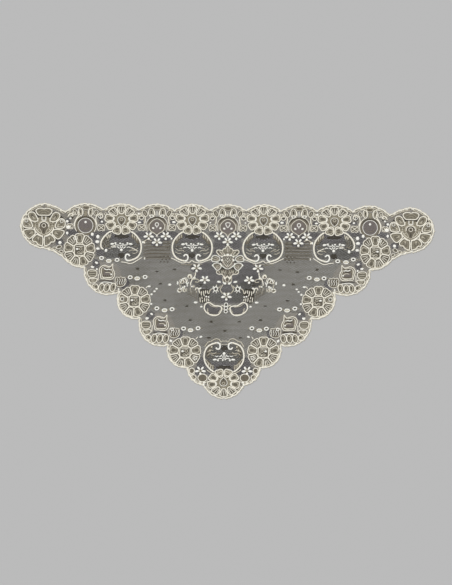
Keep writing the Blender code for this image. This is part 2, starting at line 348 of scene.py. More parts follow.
class Pen:
    """Draws a motif in stitch units round its centre: x runs towards X = 0 and y runs up.

    A motif that stands on X = 0 is drawn whole, with alone=True, and its x is X.
    """

    def __init__(self, lace, x, y, turn=0.0, wide=1.0, tall=1.0, alone=False):
        self.lace, self.x, self.y, self.alone = lace, x, y, alone
        self.turn = math.radians(turn)
        self.wide, self.tall = wide * UNIT * (1 if alone else -1), tall * UNIT

    def at(self, points):
        p = np.asarray(points, float).reshape(-1, 2)
        c, s = math.cos(self.turn), math.sin(self.turn)
        x, y = p[:, 0] * c - p[:, 1] * s, p[:, 0] * s + p[:, 1] * c
        return np.stack([self.x + x * self.wide, self.y + y * self.tall], axis=1)

    def line(self, points, style="fine", finish=GIMP, closed=False, sharp=False, taper=True, lift=0.0):
        step = STYLES[style][3]
        shape = (polyline if sharp else curve)(self.at(points), closed, step)
        tube(self.lace, shape, style, finish, closed, self.alone, taper, lift)

    def pair(self, points, **how):
        """The line and its mirror image across the motif's own axis."""
        self.line(points, **how)
        self.line([(-x, y) for x, y in points], **how)

    def oval_points(self, x, y, rx, ry, turn=0.0, count=14, first=0.0, last=360.0):
        whole = abs(last - first) > 359.9
        a = np.radians(np.linspace(first, last, count, endpoint=not whole))
        c, s = math.cos(math.radians(turn)), math.sin(math.radians(turn))
        px, py = rx * np.cos(a), ry * np.sin(a)
        return np.stack([x + px * c - py * s, y + px * s + py * c], axis=1)

    def oval(self, x, y, rx, ry, turn=0.0, style="fine", finish=GIMP, lift=0.0):
        self.line(self.oval_points(x, y, rx, ry, turn), style, finish, closed=True, lift=lift)

    def arc(self, x, y, rx, ry, first, last, style="fine", finish=GIMP, turn=0.0):
        count = max(int(abs(last - first) / 22) + 2, 4)
        self.line(self.oval_points(x, y, rx, ry, turn, count, first, last), style, finish)

    def bead(self, x, y, rx, ry=None, turn=0.0, height=1.3, finish=BRIGHT, base=0.6):
        px, py = self.at([(x, y)])[0]
        side = -1 if self.wide < 0 else 1
        angle = side * math.radians(turn) + self.turn * side
        dome(self.lace, px, py, rx * UNIT, (ry or rx) * UNIT, angle, height, finish, self.alone, base)

    def beads(self, rows, **how):
        for row in rows:
            self.bead(*row, **how)

    def loops(self, shapes, smooth=True):
        return [(curve if smooth else polyline)(self.at(shape), True, 2.0) for shape in shapes]

    def shade(self, shapes, smooth=True, finish=SHADE):
        """Dark dense weave in the panel itself, in place of its net."""
        SHADES.append((self.lace.cloth, self.loops(shapes, smooth), self.alone, finish))

    def fill(self, shapes, finish=TOILE, smooth=True, turn=0.0, under=True):
        """A woven filling, by default with the dark dense weave beneath it."""
        loops = self.loops(shapes, smooth)
        FILLS.append((self.lace, loops, finish, self.alone, math.radians(turn)))
        if under:
            SHADES.append((self.lace.cloth, loops[:1], self.alone, SHADE))

    def spot(self, x, y, rx, ry=None):
        """An eyelet in the filling laid there, or a small dark patch where there is none."""
        SPOTS.append((self.lace.cloth, self.at(self.oval_points(x, y, rx, ry or rx, count=8)), self.alone))

    def dusk(self, shape, smooth=True):
        DUSK_SHAPES.append((curve if smooth else polyline)(self.at(shape), True, 3.0))

    def dark(self, shape, smooth=True):
        OPEN_SHAPES.append((curve if smooth else polyline)(self.at(shape), True, 3.0))


# ---------------------------------------------------------------- the rim, as the solids have it
RIM = (
    # section,        x,      y,      rise,  steps
    ("top_1", 129.2, 219.3, 15.0, 12),
    ("top_2", 215.0, 220.2, 14.7, 12),
    ("top_3", 301.0, 219.7, 14.5, 12),
    ("top_4", 392.0, 211.5, 18.0, 12),
    ("tip_a", 443.0, 231.8, 3.8, 6),
    ("tip_b", 500.0, 179.0, 13.0, 12),
    ("tip_c", 449.4, 120.8, 14.6, 10),
    ("tip_d", 395.0, 97.8, -4.8, 6),
    ("side_flower_1", 346.0, 75.5, 6.5, 8),
    ("side_bud_1", 261.5, 17.5, 30.0, 14),
    ("side_flower_2", 208.0, -45.8, 23.5, 12),
    ("side_bud_2", 137.0, -110.0, 26.5, 14),
    ("side_flower_3", 90.0, -163.5, 19.0, 12),
    ("corner", 48.5, -206.5, 10.0, 8),
)
CREST = (0.0, 234.2)
CREST_END = (43.8, 219.7)
POINT_RISE = 31.0


def bow(start, end, rise, steps):
    """Points after start, to end, on the arc that stands rise to the left of the way there."""
    (x0, y0), (x1, y1) = start, end
    chord = math.hypot(x1 - x0, y1 - y0)
    along = ((x1 - x0) / chord, (y1 - y0) / chord)
    left = (-along[1], along[0])
    side = 1.0 if rise > 0 else -1.0
    height = abs(rise)
    radius = (chord * chord / 4 + height * height) / (2 * height)
    half = 2 * math.atan2(2 * height, chord)
    back = side * (height - radius)
    centre = ((x0 + x1) / 2 + left[0] * back, (y0 + y1) / 2 + left[1] * back)
    points = []
    for step in range(1, steps + 1):
        turn = -half + 2 * half * step / steps
        s, c = radius * math.sin(turn), side * radius * math.cos(turn)
        points.append((centre[0] + along[0] * s + left[0] * c, centre[1] + along[1] * s + left[1] * c))
    points[-1] = end
    return points


def moved(points, distance, closed=True):
    """The line moved to its left, its corners mitred."""
    p = np.asarray(points, float)
    ahead = np.roll(p, -1, axis=0) - p
    ahead /= np.maximum(np.linalg.norm(ahead, axis=1), 1e-9)[:, None]
    behind = np.roll(ahead, 1, axis=0)
    if not closed:
        ahead[-1], behind[0] = behind[-1], ahead[0]
    side = np.stack([-(ahead + behind)[:, 1], (ahead + behind)[:, 0]], axis=1)
    side /= np.maximum(np.linalg.norm(side, axis=1), 1e-9)[:, None]
    square = np.stack([-ahead[:, 1], ahead[:, 0]], axis=1)
    reach = np.minimum(1.0 / np.maximum((side * square).sum(axis=1), 0.3), 2.0)
    return p + side * (reach * distance)[:, None]


rim = [CREST]
drop = CREST[1] - CREST_END[1]
crest_radius = (CREST_END[0] ** 2 + drop**2) / (2 * drop)
crest_half = math.asin(CREST_END[0] / crest_radius)
for step in range(1, 7):
    turn = crest_half * step / 6
    rim.append((crest_radius * math.sin(turn), CREST[1] - crest_radius * (1 - math.cos(turn))))
rim[-1] = CREST_END
corner = {"crest_end": len(rim) - 1}
for section, x, y, rise, steps in RIM:
    rim += bow(rim[-1], (x, y), rise, steps)
    corner[section] = len(rim) - 1
rim += [p for p in bow(rim[-1], (-rim[-1][0], rim[-1][1]), POINT_RISE, 16) if p[0] > -1e-6]
rim[-1] = (0.0, rim[-1][1])
rim_loop = np.array(rim + [(-x, y) for x, y in reversed(rim[1:-1])])


def inset(distance):
    """The right half of the rim, moved inwards."""
    return moved(rim_loop, -distance)[: len(rim)]


# ---------------------------------------------------------------- pieces
def new_pair(name, cloth=None):
    right, left = Lace("right_" + name, cloth), Lace("left_" + name, cloth)
    right.partner = left
    return right, left


field, band = Lace("field_lace"), Lace("band_lace")
top, point = Lace("top_border_lace"), Lace("point_border_lace")
side, side_left = new_pair("border_lace")
tip, tip_left = new_pair("tip_lace")
# the cords, beads and fillings applied to each panel
field_gimp, band_gimp = Lace("field_gimp", field), Lace("band_gimp", band)
top_gimp, point_gimp = Lace("top_border_gimp", top), Lace("point_border_gimp", point)
side_gimp, side_gimp_left = new_pair("border_gimp", side)
tip_gimp, tip_gimp_left = new_pair("tip_gimp", tip)

# ---------------------------------------------------------------- motifs
def polar(radius, angle, out, aside):
    """A petal's place: out along the petal's middle line and aside to its left."""
    c, s = math.cos(math.radians(angle)), math.sin(math.radians(angle))
    return (radius * (out * c - aside * s), radius * (out * s + aside * c))


def both_sides(half):
    """A closed shape from its right half, whose first and last points are on its axis or near it."""
    return list(half) + [(-x, y) for x, y in reversed(half) if x > 0.05]


PETAL = (
    # out,  aside
    (0.45, 0.07),
    (0.52, 0.135),
    (0.68, 0.205),
    (0.85, 0.255),
    (0.95, 0.22),
    (1.0, 0.12),
    (0.99, 0.0),
)
WEDGE = (
    # the same for petals that touch their neighbours
    (0.43, 0.09),
    (0.50, 0.165),
    (0.68, 0.235),
    (0.86, 0.295),
    (0.96, 0.245),
    (1.0, 0.12),
    (0.985, 0.0),
)
KEYHOLE = ((0.0, 3.3), (2.1, 2.9), (3.5, 1.5), (3.8, -0.4), (3.1, -2.6), (1.6, -4.6), (0.0, -6.0))
BLOCK = ((-4.6, 0.0), (-4.5, 3.4), (-3.4, 4.5), (0.0, 4.7), (3.4, 4.5), (4.5, 3.4), (4.6, 0.0), (4.5, -3.4), (3.4, -4.5), (0.0, -4.7), (-3.4, -4.5), (-4.5, -3.4))


def petal_ring(pen, rows, thick, struck):
    """Nine petals round the motif's middle. Those in struck have straight strokes, the rest an inner line."""
    for k in range(9):
        angle = 90 + 40 * k
        shape = [polar(14, angle, o, -a) for o, a in rows]
        shape += [polar(14, angle, o, a) for o, a in reversed(rows[:-1])]
        core = [polar(14, angle, o, a) for o, a in ((0.65, -0.04), (0.74, -0.09), (0.85, -0.06), (0.85, 0.06), (0.74, 0.09), (0.65, 0.04))]
        if k in struck:
            pen.fill([shape], TOILE, under=False)
            for aside in (-0.13, 0.0, 0.13):
                pen.line([polar(14, angle, 0.54, aside * 0.55), polar(14, angle, 0.91, aside * 1.35)], "hair", GIMP)
        else:
            pen.fill([shape, core], TOILE_MID, under=False)
            pen.fill([core], TOILE, under=False)
            pen.line(
                [polar(14, angle, o, a) for o, a in ((0.56, -0.09), (0.72, -0.15), (0.88, -0.12), (0.91, 0.0), (0.88, 0.12), (0.72, 0.15), (0.56, 0.09))],
                "hair", GIMP_WARM,
            )
        pen.line(shape, thick, GIMP, closed=True)


def rosette(lace, x, y, radius, wide=1.0, tall=1.0, alone=False):
    """A flower of nine petals with thick outlines, round a pale disc with a keyhole eye.

    It is drawn for a radius of 14 stitches. Its upper petals have close strokes instead of
    a second outline.
    """
    s = radius / 14.0
    pen = Pen(lace, x, y, 0, wide * s, tall * s, alone)
    pen.shade([pen.oval_points(0, 0, 13.8, 13.8, count=27)])
    petal_ring(pen, PETAL, "outline", (0, 1, 8))
    keyhole = [(px * 0.84, py * 0.92 + 0.2) for px, py in both_sides(KEYHOLE)]
    pen.fill([pen.oval_points(0, 0, 6.9, 6.9, count=18), keyhole], TOILE_PALE, under=False)
    pen.fill([keyhole], GROUND, under=False)
    pen.line(keyhole, "hair", BRIGHT, closed=True)
    pen.oval(0, 0.6, 1.25, 1.3, style="hair", finish=GIMP_WARM)
    pen.line([(0.0, -1.6), (0.0, -4.0)], "hair", SHADE)
    pen.pair([(6.9, 2.6), (7.2, -1.6)], style="fine", finish=BRIGHT)
    pen.pair([(6.8, -2.4), (5.2, -5.6), (2.6, -7.4), (0.3, -7.8)], style="fine", finish=GIMP)
    for sx in (-1, 1):
        for ex, ey in ((5.4, -2.2), (3.8, -4.6), (5.2, 2.6), (2.9, 5.0)):
            pen.spot(sx * ex, ey, 0.6)
    return pen


def side_rosette(lace, x, y, radius, wide, tall, ring):
    """A flower of nine touching petals round a square eye. ring is the angle of a small extra ring."""
    s = radius / 14.0
    pen = Pen(lace, x, y, 0, wide * s, tall * s)
    pen.shade([pen.oval_points(0, 0, 13.9, 13.9, count=27)])
    petal_ring(pen, WEDGE, "fine", (1, 3, 4, 6, 8))
    pen.fill([pen.oval_points(0, 0, 6.0, 6.0, count=18), BLOCK], TOILE_PALE, under=False)
    pen.fill([BLOCK], TOILE, under=False)
    pen.line(BLOCK, "fine", GIMP, closed=True)
    pen.bead(-2.1, 0.8, 1.5, 1.1)
    pen.bead(1.5, -2.9, 0.8, 0.6, finish=GIMP)
    pen.line([(-3.2, -1.0), (-1.0, -0.8), (2.8, -0.6)], "hair", SHADE)
    for ox, oy, rx, ry in ((1.1, 1.0, 1.2, 1.3), (-0.6, -2.4, 1.3, 0.9), (2.9, -1.6, 0.8, 1.0)):
        pen.oval(ox, oy, rx, ry, style="hair", finish=GIMP_WARM)
    pen.line([(-3.4, 3.1), (-1.2, 2.9), (1.0, 3.2), (3.2, 3.0)], "hair", GIMP)
    rx, ry = polar(14, ring, 0.78, 0.0)
    pen.oval(rx, ry, 1.5, 1.5, style="hair", finish=BRIGHT, lift=0.3)
    return pen


# the big flower of each tip: one half of each petal pair
TIP_TOP = ((0.0, 17.3), (2.2, 18.1), (5.2, 17.9), (7.8, 16.2), (7.6, 13.8), (5.4, 11.0), (2.6, 10.7), (0.0, 10.7))
TIP_PETALS = (
    # upper side, level, lower side and bottom petal
    ((6.0, 5.2), (8.4, 11.2), (9.8, 13.2), (12.2, 13.9), (14.8, 13.0), (15.8, 11.0), (15.0, 8.2), (11.4, 4.6)),
    ((11.9, -1.8), (17.3, -2.2), (20.4, -0.8), (21.2, 2.6), (20.4, 5.8), (18.2, 7.4), (15.8, 7.0), (13.0, 4.2), (11.6, 1.0)),
    ((10.4, -3.6), (18.8, -4.2), (20.2, -6.4), (18.4, -9.4), (16.0, -12.2), (13.4, -12.8), (10.6, -10.2), (8.4, -7.6)),
    ((7.0, -8.8), (11.2, -13.2), (10.0, -16.0), (7.6, -16.2), (5.6, -18.6), (2.8, -19.8), (1.0, -19.4), (0.9, -11.4), (3.6, -10.2)),
)
TIP_DISC = ((0.0, 9.0), (4.8, 8.8), (7.6, 6.2), (10.8, 3.0), (10.6, -1.4), (8.6, -5.6), (5.6, -8.4), (0.0, -9.8))
TIP_KEYHOLE = ((0.0, 4.6), (3.6, 3.8), (5.5, 1.2), (4.9, -2.0), (2.8, -4.6), (1.7, -8.0), (0.0, -8.8))


def tip_flower(lace, x, y):
    pen = Pen(lace, x, y)
    pen.shade([[(px * 0.99, py * 0.99) for px, py in both_sides(
        ((0.0, 17.4), (6.4, 16.0), (15.0, 13.0), (20.6, 6.0), (20.6, -4.0), (17.6, -10.6), (10.6, -16.4), (3.0, -19.6), (0.0, -19.6))
    )]])
    top_petal = both_sides(TIP_TOP)
    pen.fill([top_petal], TOILE_MID, under=False)
    pen.line(top_petal, "outline", GIMP, closed=True)
    pen.arc(0, 12.4, 5.6, 3.6, 10, 170, "hair", TOILE_PALE)
    pen.arc(0, 12.2, 2.6, 1.8, 10, 170, "hair", TOILE_PALE)
    for ex in (-3.6, 3.6):
        pen.spot(ex, 8.2, 0.6, 0.8)
    for half in TIP_PETALS:
        for sx in (-1, 1):
            shape = [(sx * px, py) for px, py in half]
            mx, my = np.mean(shape, axis=0)
            pen.fill([shape], TOILE_MID, under=False)
            pen.line([(mx + (px - mx) * 0.26, my + (py - my) * 0.26) for px, py in shape], "hair", TOILE, closed=True)
            pen.line(shape, "outline", GIMP, closed=True)
            # short strokes from the disc into the petal
            ex, ey = shape[0]
            fx, fy = shape[-1]
            for share in (0.3, 0.7):
                bx, by = ex + (fx - ex) * share, ey + (fy - ey) * share
                pen.line([(bx + (mx - bx) * 0.25, by + (my - by) * 0.25), (bx + (mx - bx) * 0.95, by + (my - by) * 0.95)], "hair", GIMP_WARM)
            pen.line([(mx + (px - mx) * 0.60, my + (py - my) * 0.60) for px, py in shape], "hair", TOILE_PALE, closed=True)
    for sx in (-1, 1):
        pen.spot(sx * 11.6, 10.6, 0.9)
        pen.spot(sx * 8.9, 9.4, 0.7)
        pen.oval(sx * 17.6, 5.0, 1.6, 1.5, style="hair", finish=BRIGHT, lift=0.2)
        pen.line([(sx * 13.0, -0.4), (sx * 19.4, -0.4)], "hair", GIMP)
    disc, keyhole = both_sides(TIP_DISC), both_sides(TIP_KEYHOLE)
    pen.fill([disc, keyhole], TOILE_PALE, under=False)
    pen.fill([keyhole], GROUND, under=False)
    pen.line(keyhole, "hair", GIMP_WARM, closed=True)
    pen.arc(0, 0.2, 4.6, 3.9, -20, 200, "fine", GIMP)
    pen.arc(0, 0.3, 3.3, 2.9, -10, 190, "hair", SHADE)
    pen.oval(0, 0.4, 2.0, 1.9, style="hair", finish=GIMP)
    pen.bead(0, 0.4, 0.7, 0.7, finish=SHADE)
    pen.line([(0.0, -3.2), (0.0, -6.8)], "hair", SHADE)
    pen.pair([(9.9, -1.4), (8.8, -4.8), (6.0, -7.8), (2.4, -10.0), (0.4, -10.4)], style="outline", finish=GIMP)
    pen.pair([(8.4, -0.8), (7.4, -3.6), (5.0, -6.2), (2.2, -7.9)], style="hair", finish=GIMP)
    for sx in (-1, 1):
        for ex, ey in ((5.6, 7.4), (8.9, 3.2), (8.2, 0.6), (6.2, 4.6), (5.7, -3.6)):
            pen.bead(sx * ex, ey, 0.45, 0.45, height=0.8, finish=GIMP)
    pen.pair([(2.0, 5.4), (1.9, 9.6)], style="fine", finish=BRIGHT)
    pen.line([(-2.2, 5.6), (2.2, 5.6)], "fine", BRIGHT, sharp=True)
    for sx in (-1, 1):
        for ex, ey in ((3.4, 7.8), (4.8, 10.0), (7.9, 4.0), (9.7, 1.8), (6.9, 1.1), (7.6, -2.4)):
            pen.spot(sx * ex, ey, 0.6)
    pen.spot(0.0, 7.6, 0.6)
    return pen


def blossom(lace, x, y, size=1.0, alone=False):
    """Five oval petals round an open eye: two slanting up, two level, one down."""
    pen = Pen(lace, x, y, 0, size, size, alone)
    pen.shade([pen.oval_points(0, 0.2, 3.6, 3.2)])
    for px, py, rx, ry, turn in (
        (-1.9, 2.7, 1.75, 1.0, 128),
        (1.9, 2.7, 1.75, 1.0, 52),
        (-3.4, -0.3, 2.0, 1.1, 8),
        (3.4, -0.3, 2.0, 1.1, -8),
        (0.0, -2.8, 1.25, 1.25, 0),
    ):
        pen.bead(px * 0.94, py * 0.94, rx * 1.06, ry * 1.1, turn, 1.4)
    pen.oval(0, 0.1, 1.15, 1.05, style="hair", finish=GIMP_WARM)
    OPEN_SPOTS.append((pen.x, pen.y, 6.4 * UNIT, 5.2 * UNIT, 0.0))
    return pen


def ringed_oval(lace, x, y, filled):
    pen = Pen(lace, x, y)
    pen.shade([pen.oval_points(0, 0, 1.5, 1.1)])
    if filled:
        pen.bead(0, 0, 1.6, 1.0, height=1.0, finish=GIMP_WARM)
        pen.oval(0, 0, 2.4, 1.5, style="outline", finish=BRIGHT)
    else:
        pen.oval(0, 0, 1.95, 1.45, style="crescent", finish=BRIGHT)
    pen.pair([(2.7, 0.0), (4.4, 0.2)], style="fine", finish=TOILE_PALE)


# ---------------------------------------------------------------- rosettes
tip_flower(tip_gimp, 443.0, 175.3)
rosette(top_gimp, 257.2, 193.2, 14.6, 1.13, 1.0)
rosette(top_gimp, 86.0, 194.2, 14.6, 1.13, 1.0)
side_rosette(side_gimp, 357.0, 118.8, 16.0, 0.95, 1.02, 110)
side_rosette(side_gimp, 221.8, -3.0, 15.9, 1.0, 0.98, 170)
side_rosette(side_gimp, 94.6, -125.8, 15.7, 1.0, 0.97, -30)
rosette(point_gimp, 0.0, -199.0, 14.8, 1.08, -0.92, alone=True)
for x, y in ((223.5, -4.5), (97.5, -127.0)):
    pen = Pen(side_gimp, x, y)
    pen.line([(13.4, 16.0), (11.6, 13.4)], "fine", GIMP)
    pen.line([(-1.1, -8.4), (-1.2, -14.4)], "hair", GIMP)

# ---------------------------------------------------------------- eye scallops of the long edge
def leaf_pad(pen, sx, x, y, wide=3.4, tall=3.1):
    """A small pad of two lobes with crossed strokes between eyelets, and scalloped feet."""
    shape = [(sx * (x + px * wide), y + py * tall) for px, py in
             ((-1.0, 0.6), (-0.5, 1.0), (0.0, 0.8), (0.5, 1.0), (1.0, 0.6), (1.05, -0.2), (0.9, -0.9), (0.45, -1.1), (0.0, -0.8), (-0.45, -1.1), (-0.9, -0.9), (-1.05, -0.2))]
    pen.fill([shape], TOILE_MID)
    pen.line(shape, "hair", GIMP, closed=True)
    for end in (-1, 1):
        pen.line([(sx * (x - 0.85 * wide), y - end * 0.75 * tall), (sx * (x + 0.85 * wide), y + end * 0.75 * tall)], "hair", GIMP)
    for ex, ey in ((-0.6, 0.0), (0.6, 0.0), (0.0, 0.55), (0.0, -0.55)):
        pen.spot(sx * (x + ex * wide), y + ey * tall, 0.55)


def scallop_petals(pen, sx, x, y, rx, ry, turn):
    """A tall loop with an inner outline, and two narrower ones that lean on its outside."""
    loop = pen.oval_points(sx * x, y, rx, ry, turn=-sx * turn)
    pen.fill([loop], TOILE)
    pen.line(loop, "fine", GIMP, closed=True)
    pen.line(pen.oval_points(sx * x, y - 0.1, rx * 0.5, ry * 0.66, turn=-sx * turn), "hair", GIMP_WARM, closed=True)
    pen.spot(sx * x, y + 0.2 * ry, 0.5, 1.0)
    px, py = sx * (x + 2.3 * rx), y - 0.14 * ry
    outer = pen.oval_points(px, py, rx * 0.8, ry * 0.74, turn=-sx * (turn + 20))
    pen.fill([outer], TOILE)
    pen.line(outer, "hair", GIMP, closed=True)
    pen.line([(px - sx * 0.5, py - ry * 0.35), (px + sx * 0.4, py + ry * 0.35)], "hair", GIMP_WARM)
    px, py = sx * (x + 4.1 * rx), y - 0.52 * ry
    last = pen.oval_points(px, py, rx * 0.62, ry * 0.5, turn=-sx * (turn + 42))
    pen.fill([last], GROUND)
    pen.line(last, "hair", GIMP_WARM, closed=True)


def eye_pointed(x, y, alone=False, drop=10.2, ring_at=(5.4, 9.4), shield=False):
    """A horseshoe round beads, closing to a point, under two loops and a pad at the crest."""
    pen = Pen(top_gimp, x, y, 0, 1, 1, alone)
    horseshoe = both_sides(
        ((0.0, 6.6), (3.6, 5.2), (7.0, 1.8), (7.9, -2.0), (6.2, -5.6), (2.9, -7.6), (1.2, -9.0), (0.0, -drop))
    )
    pen.shade([pen.oval_points(0, 0.0, 9.8, 8.8)], finish=GROUND)
    pen.fill([both_sides(((0.0, 5.6), (3.4, 4.4), (6.2, 1.4), (6.8, -1.8), (5.2, -4.8), (2.6, -6.6), (0.0, -8.2)))], MAUVE, under=False)
    pen.arc(0, 0.2, 9.4, 8.0, 25, 155, "hair", SHADE)
    pen.pair([(0.0, 4.4), (3.6, 3.0), (5.6, 0.2), (5.2, -3.0)], style="hair", finish=GROUND)
    pen.line(horseshoe, "hair", GIMP, closed=True)
    pen.pair([(8.6, 1.6), (9.4, -1.6), (8.6, -4.6)], style="hair", finish=GIMP_WARM)
    pen.pair([(2.2, 9.2), (6.8, 7.6), (10.4, 2.8), (10.6, -2.4), (9.4, -6.6)], style="hair", finish=GIMP)
    pen.pair([(9.8, 10.8), (12.4, 5.6), (12.6, -0.6), (11.2, -5.8)], style="hair", finish=GIMP_WARM)
    if shield:
        pen.line([(-2.3, 2.2), (0.0, 3.2), (2.3, 2.2), (0.0, -1.8)], "fine", BRIGHT, closed=True)
    else:
        pen.oval(0, 0.9, 1.7, 1.8, style="fine", finish=BRIGHT)
        pen.line([(0, -0.9), (0, -2.6)], "fine", BRIGHT)
    pen.beads([(-3.6, -2.8, 1.35, 1.05, -25), (3.6, -2.8, 1.35, 1.05, 25), (0.2, -drop, 0.8, 1.4)])
    # crest pad, its stem and the loops beside it
    pad = pen.oval_points(0, 18.2, 3.5, 2.3)
    pen.fill([pad], GROUND)
    pen.line(pad, "hair", GIMP_WARM, closed=True)
    pen.pair([(3.0, 15.6), (2.1, 12.8), (1.9, 9.8)], style="fine", finish=GIMP)
    pen.line([(0, 14.8), (0, 9.6)], "fine", GIMP_WARM if shield else BRIGHT)
    if shield:
        pen.bead(-0.2, 11.0, 0.8, 1.3)
    for sx in (-1, 1):
        scallop_petals(pen, sx, 5.6, 13.0, 2.8, 4.9, 5)
        pen.oval(sx * ring_at[0], ring_at[1], 1.5, 1.4, style="fine", finish=BRIGHT, lift=0.2)
        # curl beside it, with its tail along the horseshoe
        pen.shade([pen.oval_points(sx * 15.6, 7.4, 2.4, 2.4)])
        pen.oval(sx * 15.6, 7.8, 2.1, 2.0, style="fine", finish=GIMP)
        pen.line([(sx * 12.8, 10.4), (sx * 11.4, 6.0), (sx * 12.2, 1.6)], "fine", GIMP)
        pen.line([(sx * 15.0, 12.6), (sx * 17.4, 11.0), (sx * 19.0, 8.0)], "hair", GIMP_WARM)
        leaf_pad(pen, sx, 15.2, -2.0)
        pen.bead(sx * 17.6, 3.0, 0.9, 0.8)
    return pen


def eye_round(x, y):
    """A disc in a bright ring with a dark halo, under two tall loops and a pad."""
    pen = Pen(top_gimp, x, y)
    pen.shade([pen.oval_points(0, 0, 9.9, 10.2), pen.oval_points(0, 0, 7.2, 7.2)], finish=GROUND)
    pen.fill([pen.oval_points(0, 0, 7.0, 7.0)], MAUVE)
    pen.oval(0, 0, 7.4, 7.4, style="hair", finish=BRIGHT)
    # painted shadow: a dark thread arc laid only along the upper side of the ring, standing in for shade cast there
    pen.arc(0, 0.2, 8.8, 8.6, 25, 155, "hair", SHADE)
    pen.arc(0, 0.4, 5.0, 4.6, 200, 330, "hair", GROUND)
    pen.bead(0.1, 3.4, 1.3, 1.3, height=1.6)
    pen.arc(0, 0, 10.6, 10.8, -35, 60, "fine", GIMP)
    pen.arc(0, 0, 10.6, 10.8, 120, 215, "fine", GIMP)
    pad = pen.oval_points(0.4, 18.8, 3.4, 2.2)
    pen.fill([pad], GROUND)
    pen.line(pad, "hair", GIMP_WARM, closed=True)
    pen.pair([(4.8, 18.0), (3.0, 15.6), (3.0, 11.4)], style="fine", finish=GIMP)
    pen.fill([[(-1.4, 15.0), (1.4, 15.0), (1.6, 9.6), (-1.6, 9.6)]], TOILE_PALE, smooth=False)
    for sx in (-1, 1):
        scallop_petals(pen, sx, 4.9, 14.0, 2.3, 4.1, 4)
        pen.bead(sx * 4.4, 9.6, 0.7, 0.7)
        pen.line([(sx * 5.6, 18.7), (sx * 10.4, 18.0)], "fine", GIMP)
        pen.shade([pen.oval_points(sx * 14.4, 8.4, 2.4, 2.6)])
    pen.line([(14.1, 7.0), (16.8, 8.8), (16.6, 11.2), (14.1, 12.2), (11.4, 10.5), (10.2, 7.5), (10.4, 4.5), (11.6, 1.0)], "outline", GIMP)
    pen.oval(14.0, 9.2, 1.2, 1.2, style="hair", finish=BRIGHT)
    pen.line([(-7.4, 15.0), (-6.6, 12.0), (-7.6, 9.0), (-9.4, 6.0), (-11.0, 2.0), (-10.8, -1.0)], "outline", GIMP)
    pen.line([(-17.6, 8.2), (-16.0, 10.8), (-13.8, 12.0), (-12.2, 10.4), (-13.6, 8.8)], "outline", GIMP)
    pen.bead(-15.0, 6.8, 1.3, 1.0)
    leaf_pad(pen, 1, 15.6, -1.8)
    leaf_pad(pen, -1, 15.4, -1.0, 3.0, 2.6)


eye_pointed(0.0, 180.4, alone=True, drop=11.6, ring_at=(6.4, 10.2), shield=True)
eye_pointed(171.5, 180.6)
eye_round(343.6, 178.5)

# ---------------------------------------------------------------- blossoms, beads and ringed ovals
BLOSSOMS = (
    # piece, x,     y,      size
    (top_gimp, 190.8, 154.0, 1.0),
    (top_gimp, 149.8, 154.5, 1.0),
    (band_gimp, 170.8, 139.5, 1.0),
    (top_gimp, 20.6, 155.5, 1.0),
    (field_gimp, 74.2, 77.5, 1.05),
    (field_gimp, 53.5, 48.8, 1.0),
    (point_gimp, 56.3, -170.9, 1.05),
)
for piece, x, y, size in BLOSSOMS:
    blossom(piece, x, y, size)
blossom(band_gimp, 0.0, 141.5, 1.0, alone=True)
blossom(field_gimp, 0.0, 8.4, 1.05, alone=True)

BEADS = (
    # piece, x,    y,     half_w, half_h, turn
    (tip_gimp, 387.0, 187.5, 1.4, 1.4, 0),
    (tip_gimp, 384.5, 173.4, 2.3, 1.9, 0),
    (tip_gimp, 387.0, 159.0, 1.3, 1.6, 0),
    (tip_gimp, 404.0, 135.5, 1.7, 1.7, 0),
    (top_gimp, 327.0, 157.5, 1.5, 1.8, 0),
    (band_gimp, 313.6, 152.0, 1.7, 2.0, 0),
    (band_gimp, 314.8, 139.8, 2.1, 1.6, 0),
    (band_gimp, 313.2, 123.0, 1.8, 1.3, 0),
    (band_gimp, 293.6, 118.5, 1.4, 1.4, 0),
    (top_gimp, 304.2, 188.6, 1.3, 1.1, 0),
    (top_gimp, 215.3, 209.0, 1.3, 1.3, 0),
    (top_gimp, 213.8, 187.4, 1.9, 1.0, 0),
    (top_gimp, 130.6, 188.6, 1.8, 1.2, 0),
    (band_gimp, 135.8, 148.8, 1.0, 1.1, 0),
    (band_gimp, 204.6, 139.2, 0.9, 1.3, 0),
    (field_gimp, 73.6, -5.9, 2.0, 1.0, 0),
    (field_gimp, 137.9, 36.9, 1.6, 1.2, 0),
    (field_gimp, 187.4, 32.6, 1.7, 1.0, 0),
    (field_gimp, 169.2, 26.8, 1.3, 1.0, 0),
    (field_gimp, 174.0, 20.7, 1.2, 1.0, 0),
    (field_gimp, 181.0, 13.4, 1.2, 1.1, 0),
    (field_gimp, 180.7, -9.6, 1.2, 1.1, 0),
    (field_gimp, 178.3, -34.3, 1.4, 1.0, -20),
    (field_gimp, 188.6, -44.8, 1.8, 1.1, 30),
    (field_gimp, 128.5, -99.5, 1.1, 1.3, 0),
    (field_gimp, 57.4, -89.0, 1.6, 1.0, 20),
    (side_gimp, 315.2, 88.2, 1.4, 1.1, 0),
    (side_gimp, 324.6, 77.8, 1.6, 1.0, 10),
    (side_gimp, 314.8, 73.2, 1.0, 1.1, 0),
    (band_gimp, 200.2, 100.6, 0.8, 1.4, 0),
    (field_gimp, 59.4, -16.0, 1.3, 1.0, 0),
    (point_gimp, 48.4, -203.6, 1.4, 0.85, 45),
)
for piece, x, y, rx, ry, turn in BEADS:
    Pen(piece, x, y).bead(0, 0, rx, ry, turn, 1.4)

TRIOS = (
    # x,    y,      filled
    (304.0, 100.6, False),
    (286.4, 93.6, True),
    (266.4, 96.2, False),
    (234.0, 54.3, False),
    (217.0, 51.5, True),
    (198.2, 55.2, False),
    (166.6, -20.3, False),
    (147.9, -25.0, True),
    (129.8, -22.3, False),
    (100.0, -69.0, False),
    (83.0, -73.1, True),
    (65.0, -68.1, False),
)
for x, y, filled in TRIOS:
    ringed_oval(field_gimp, x, y, filled)

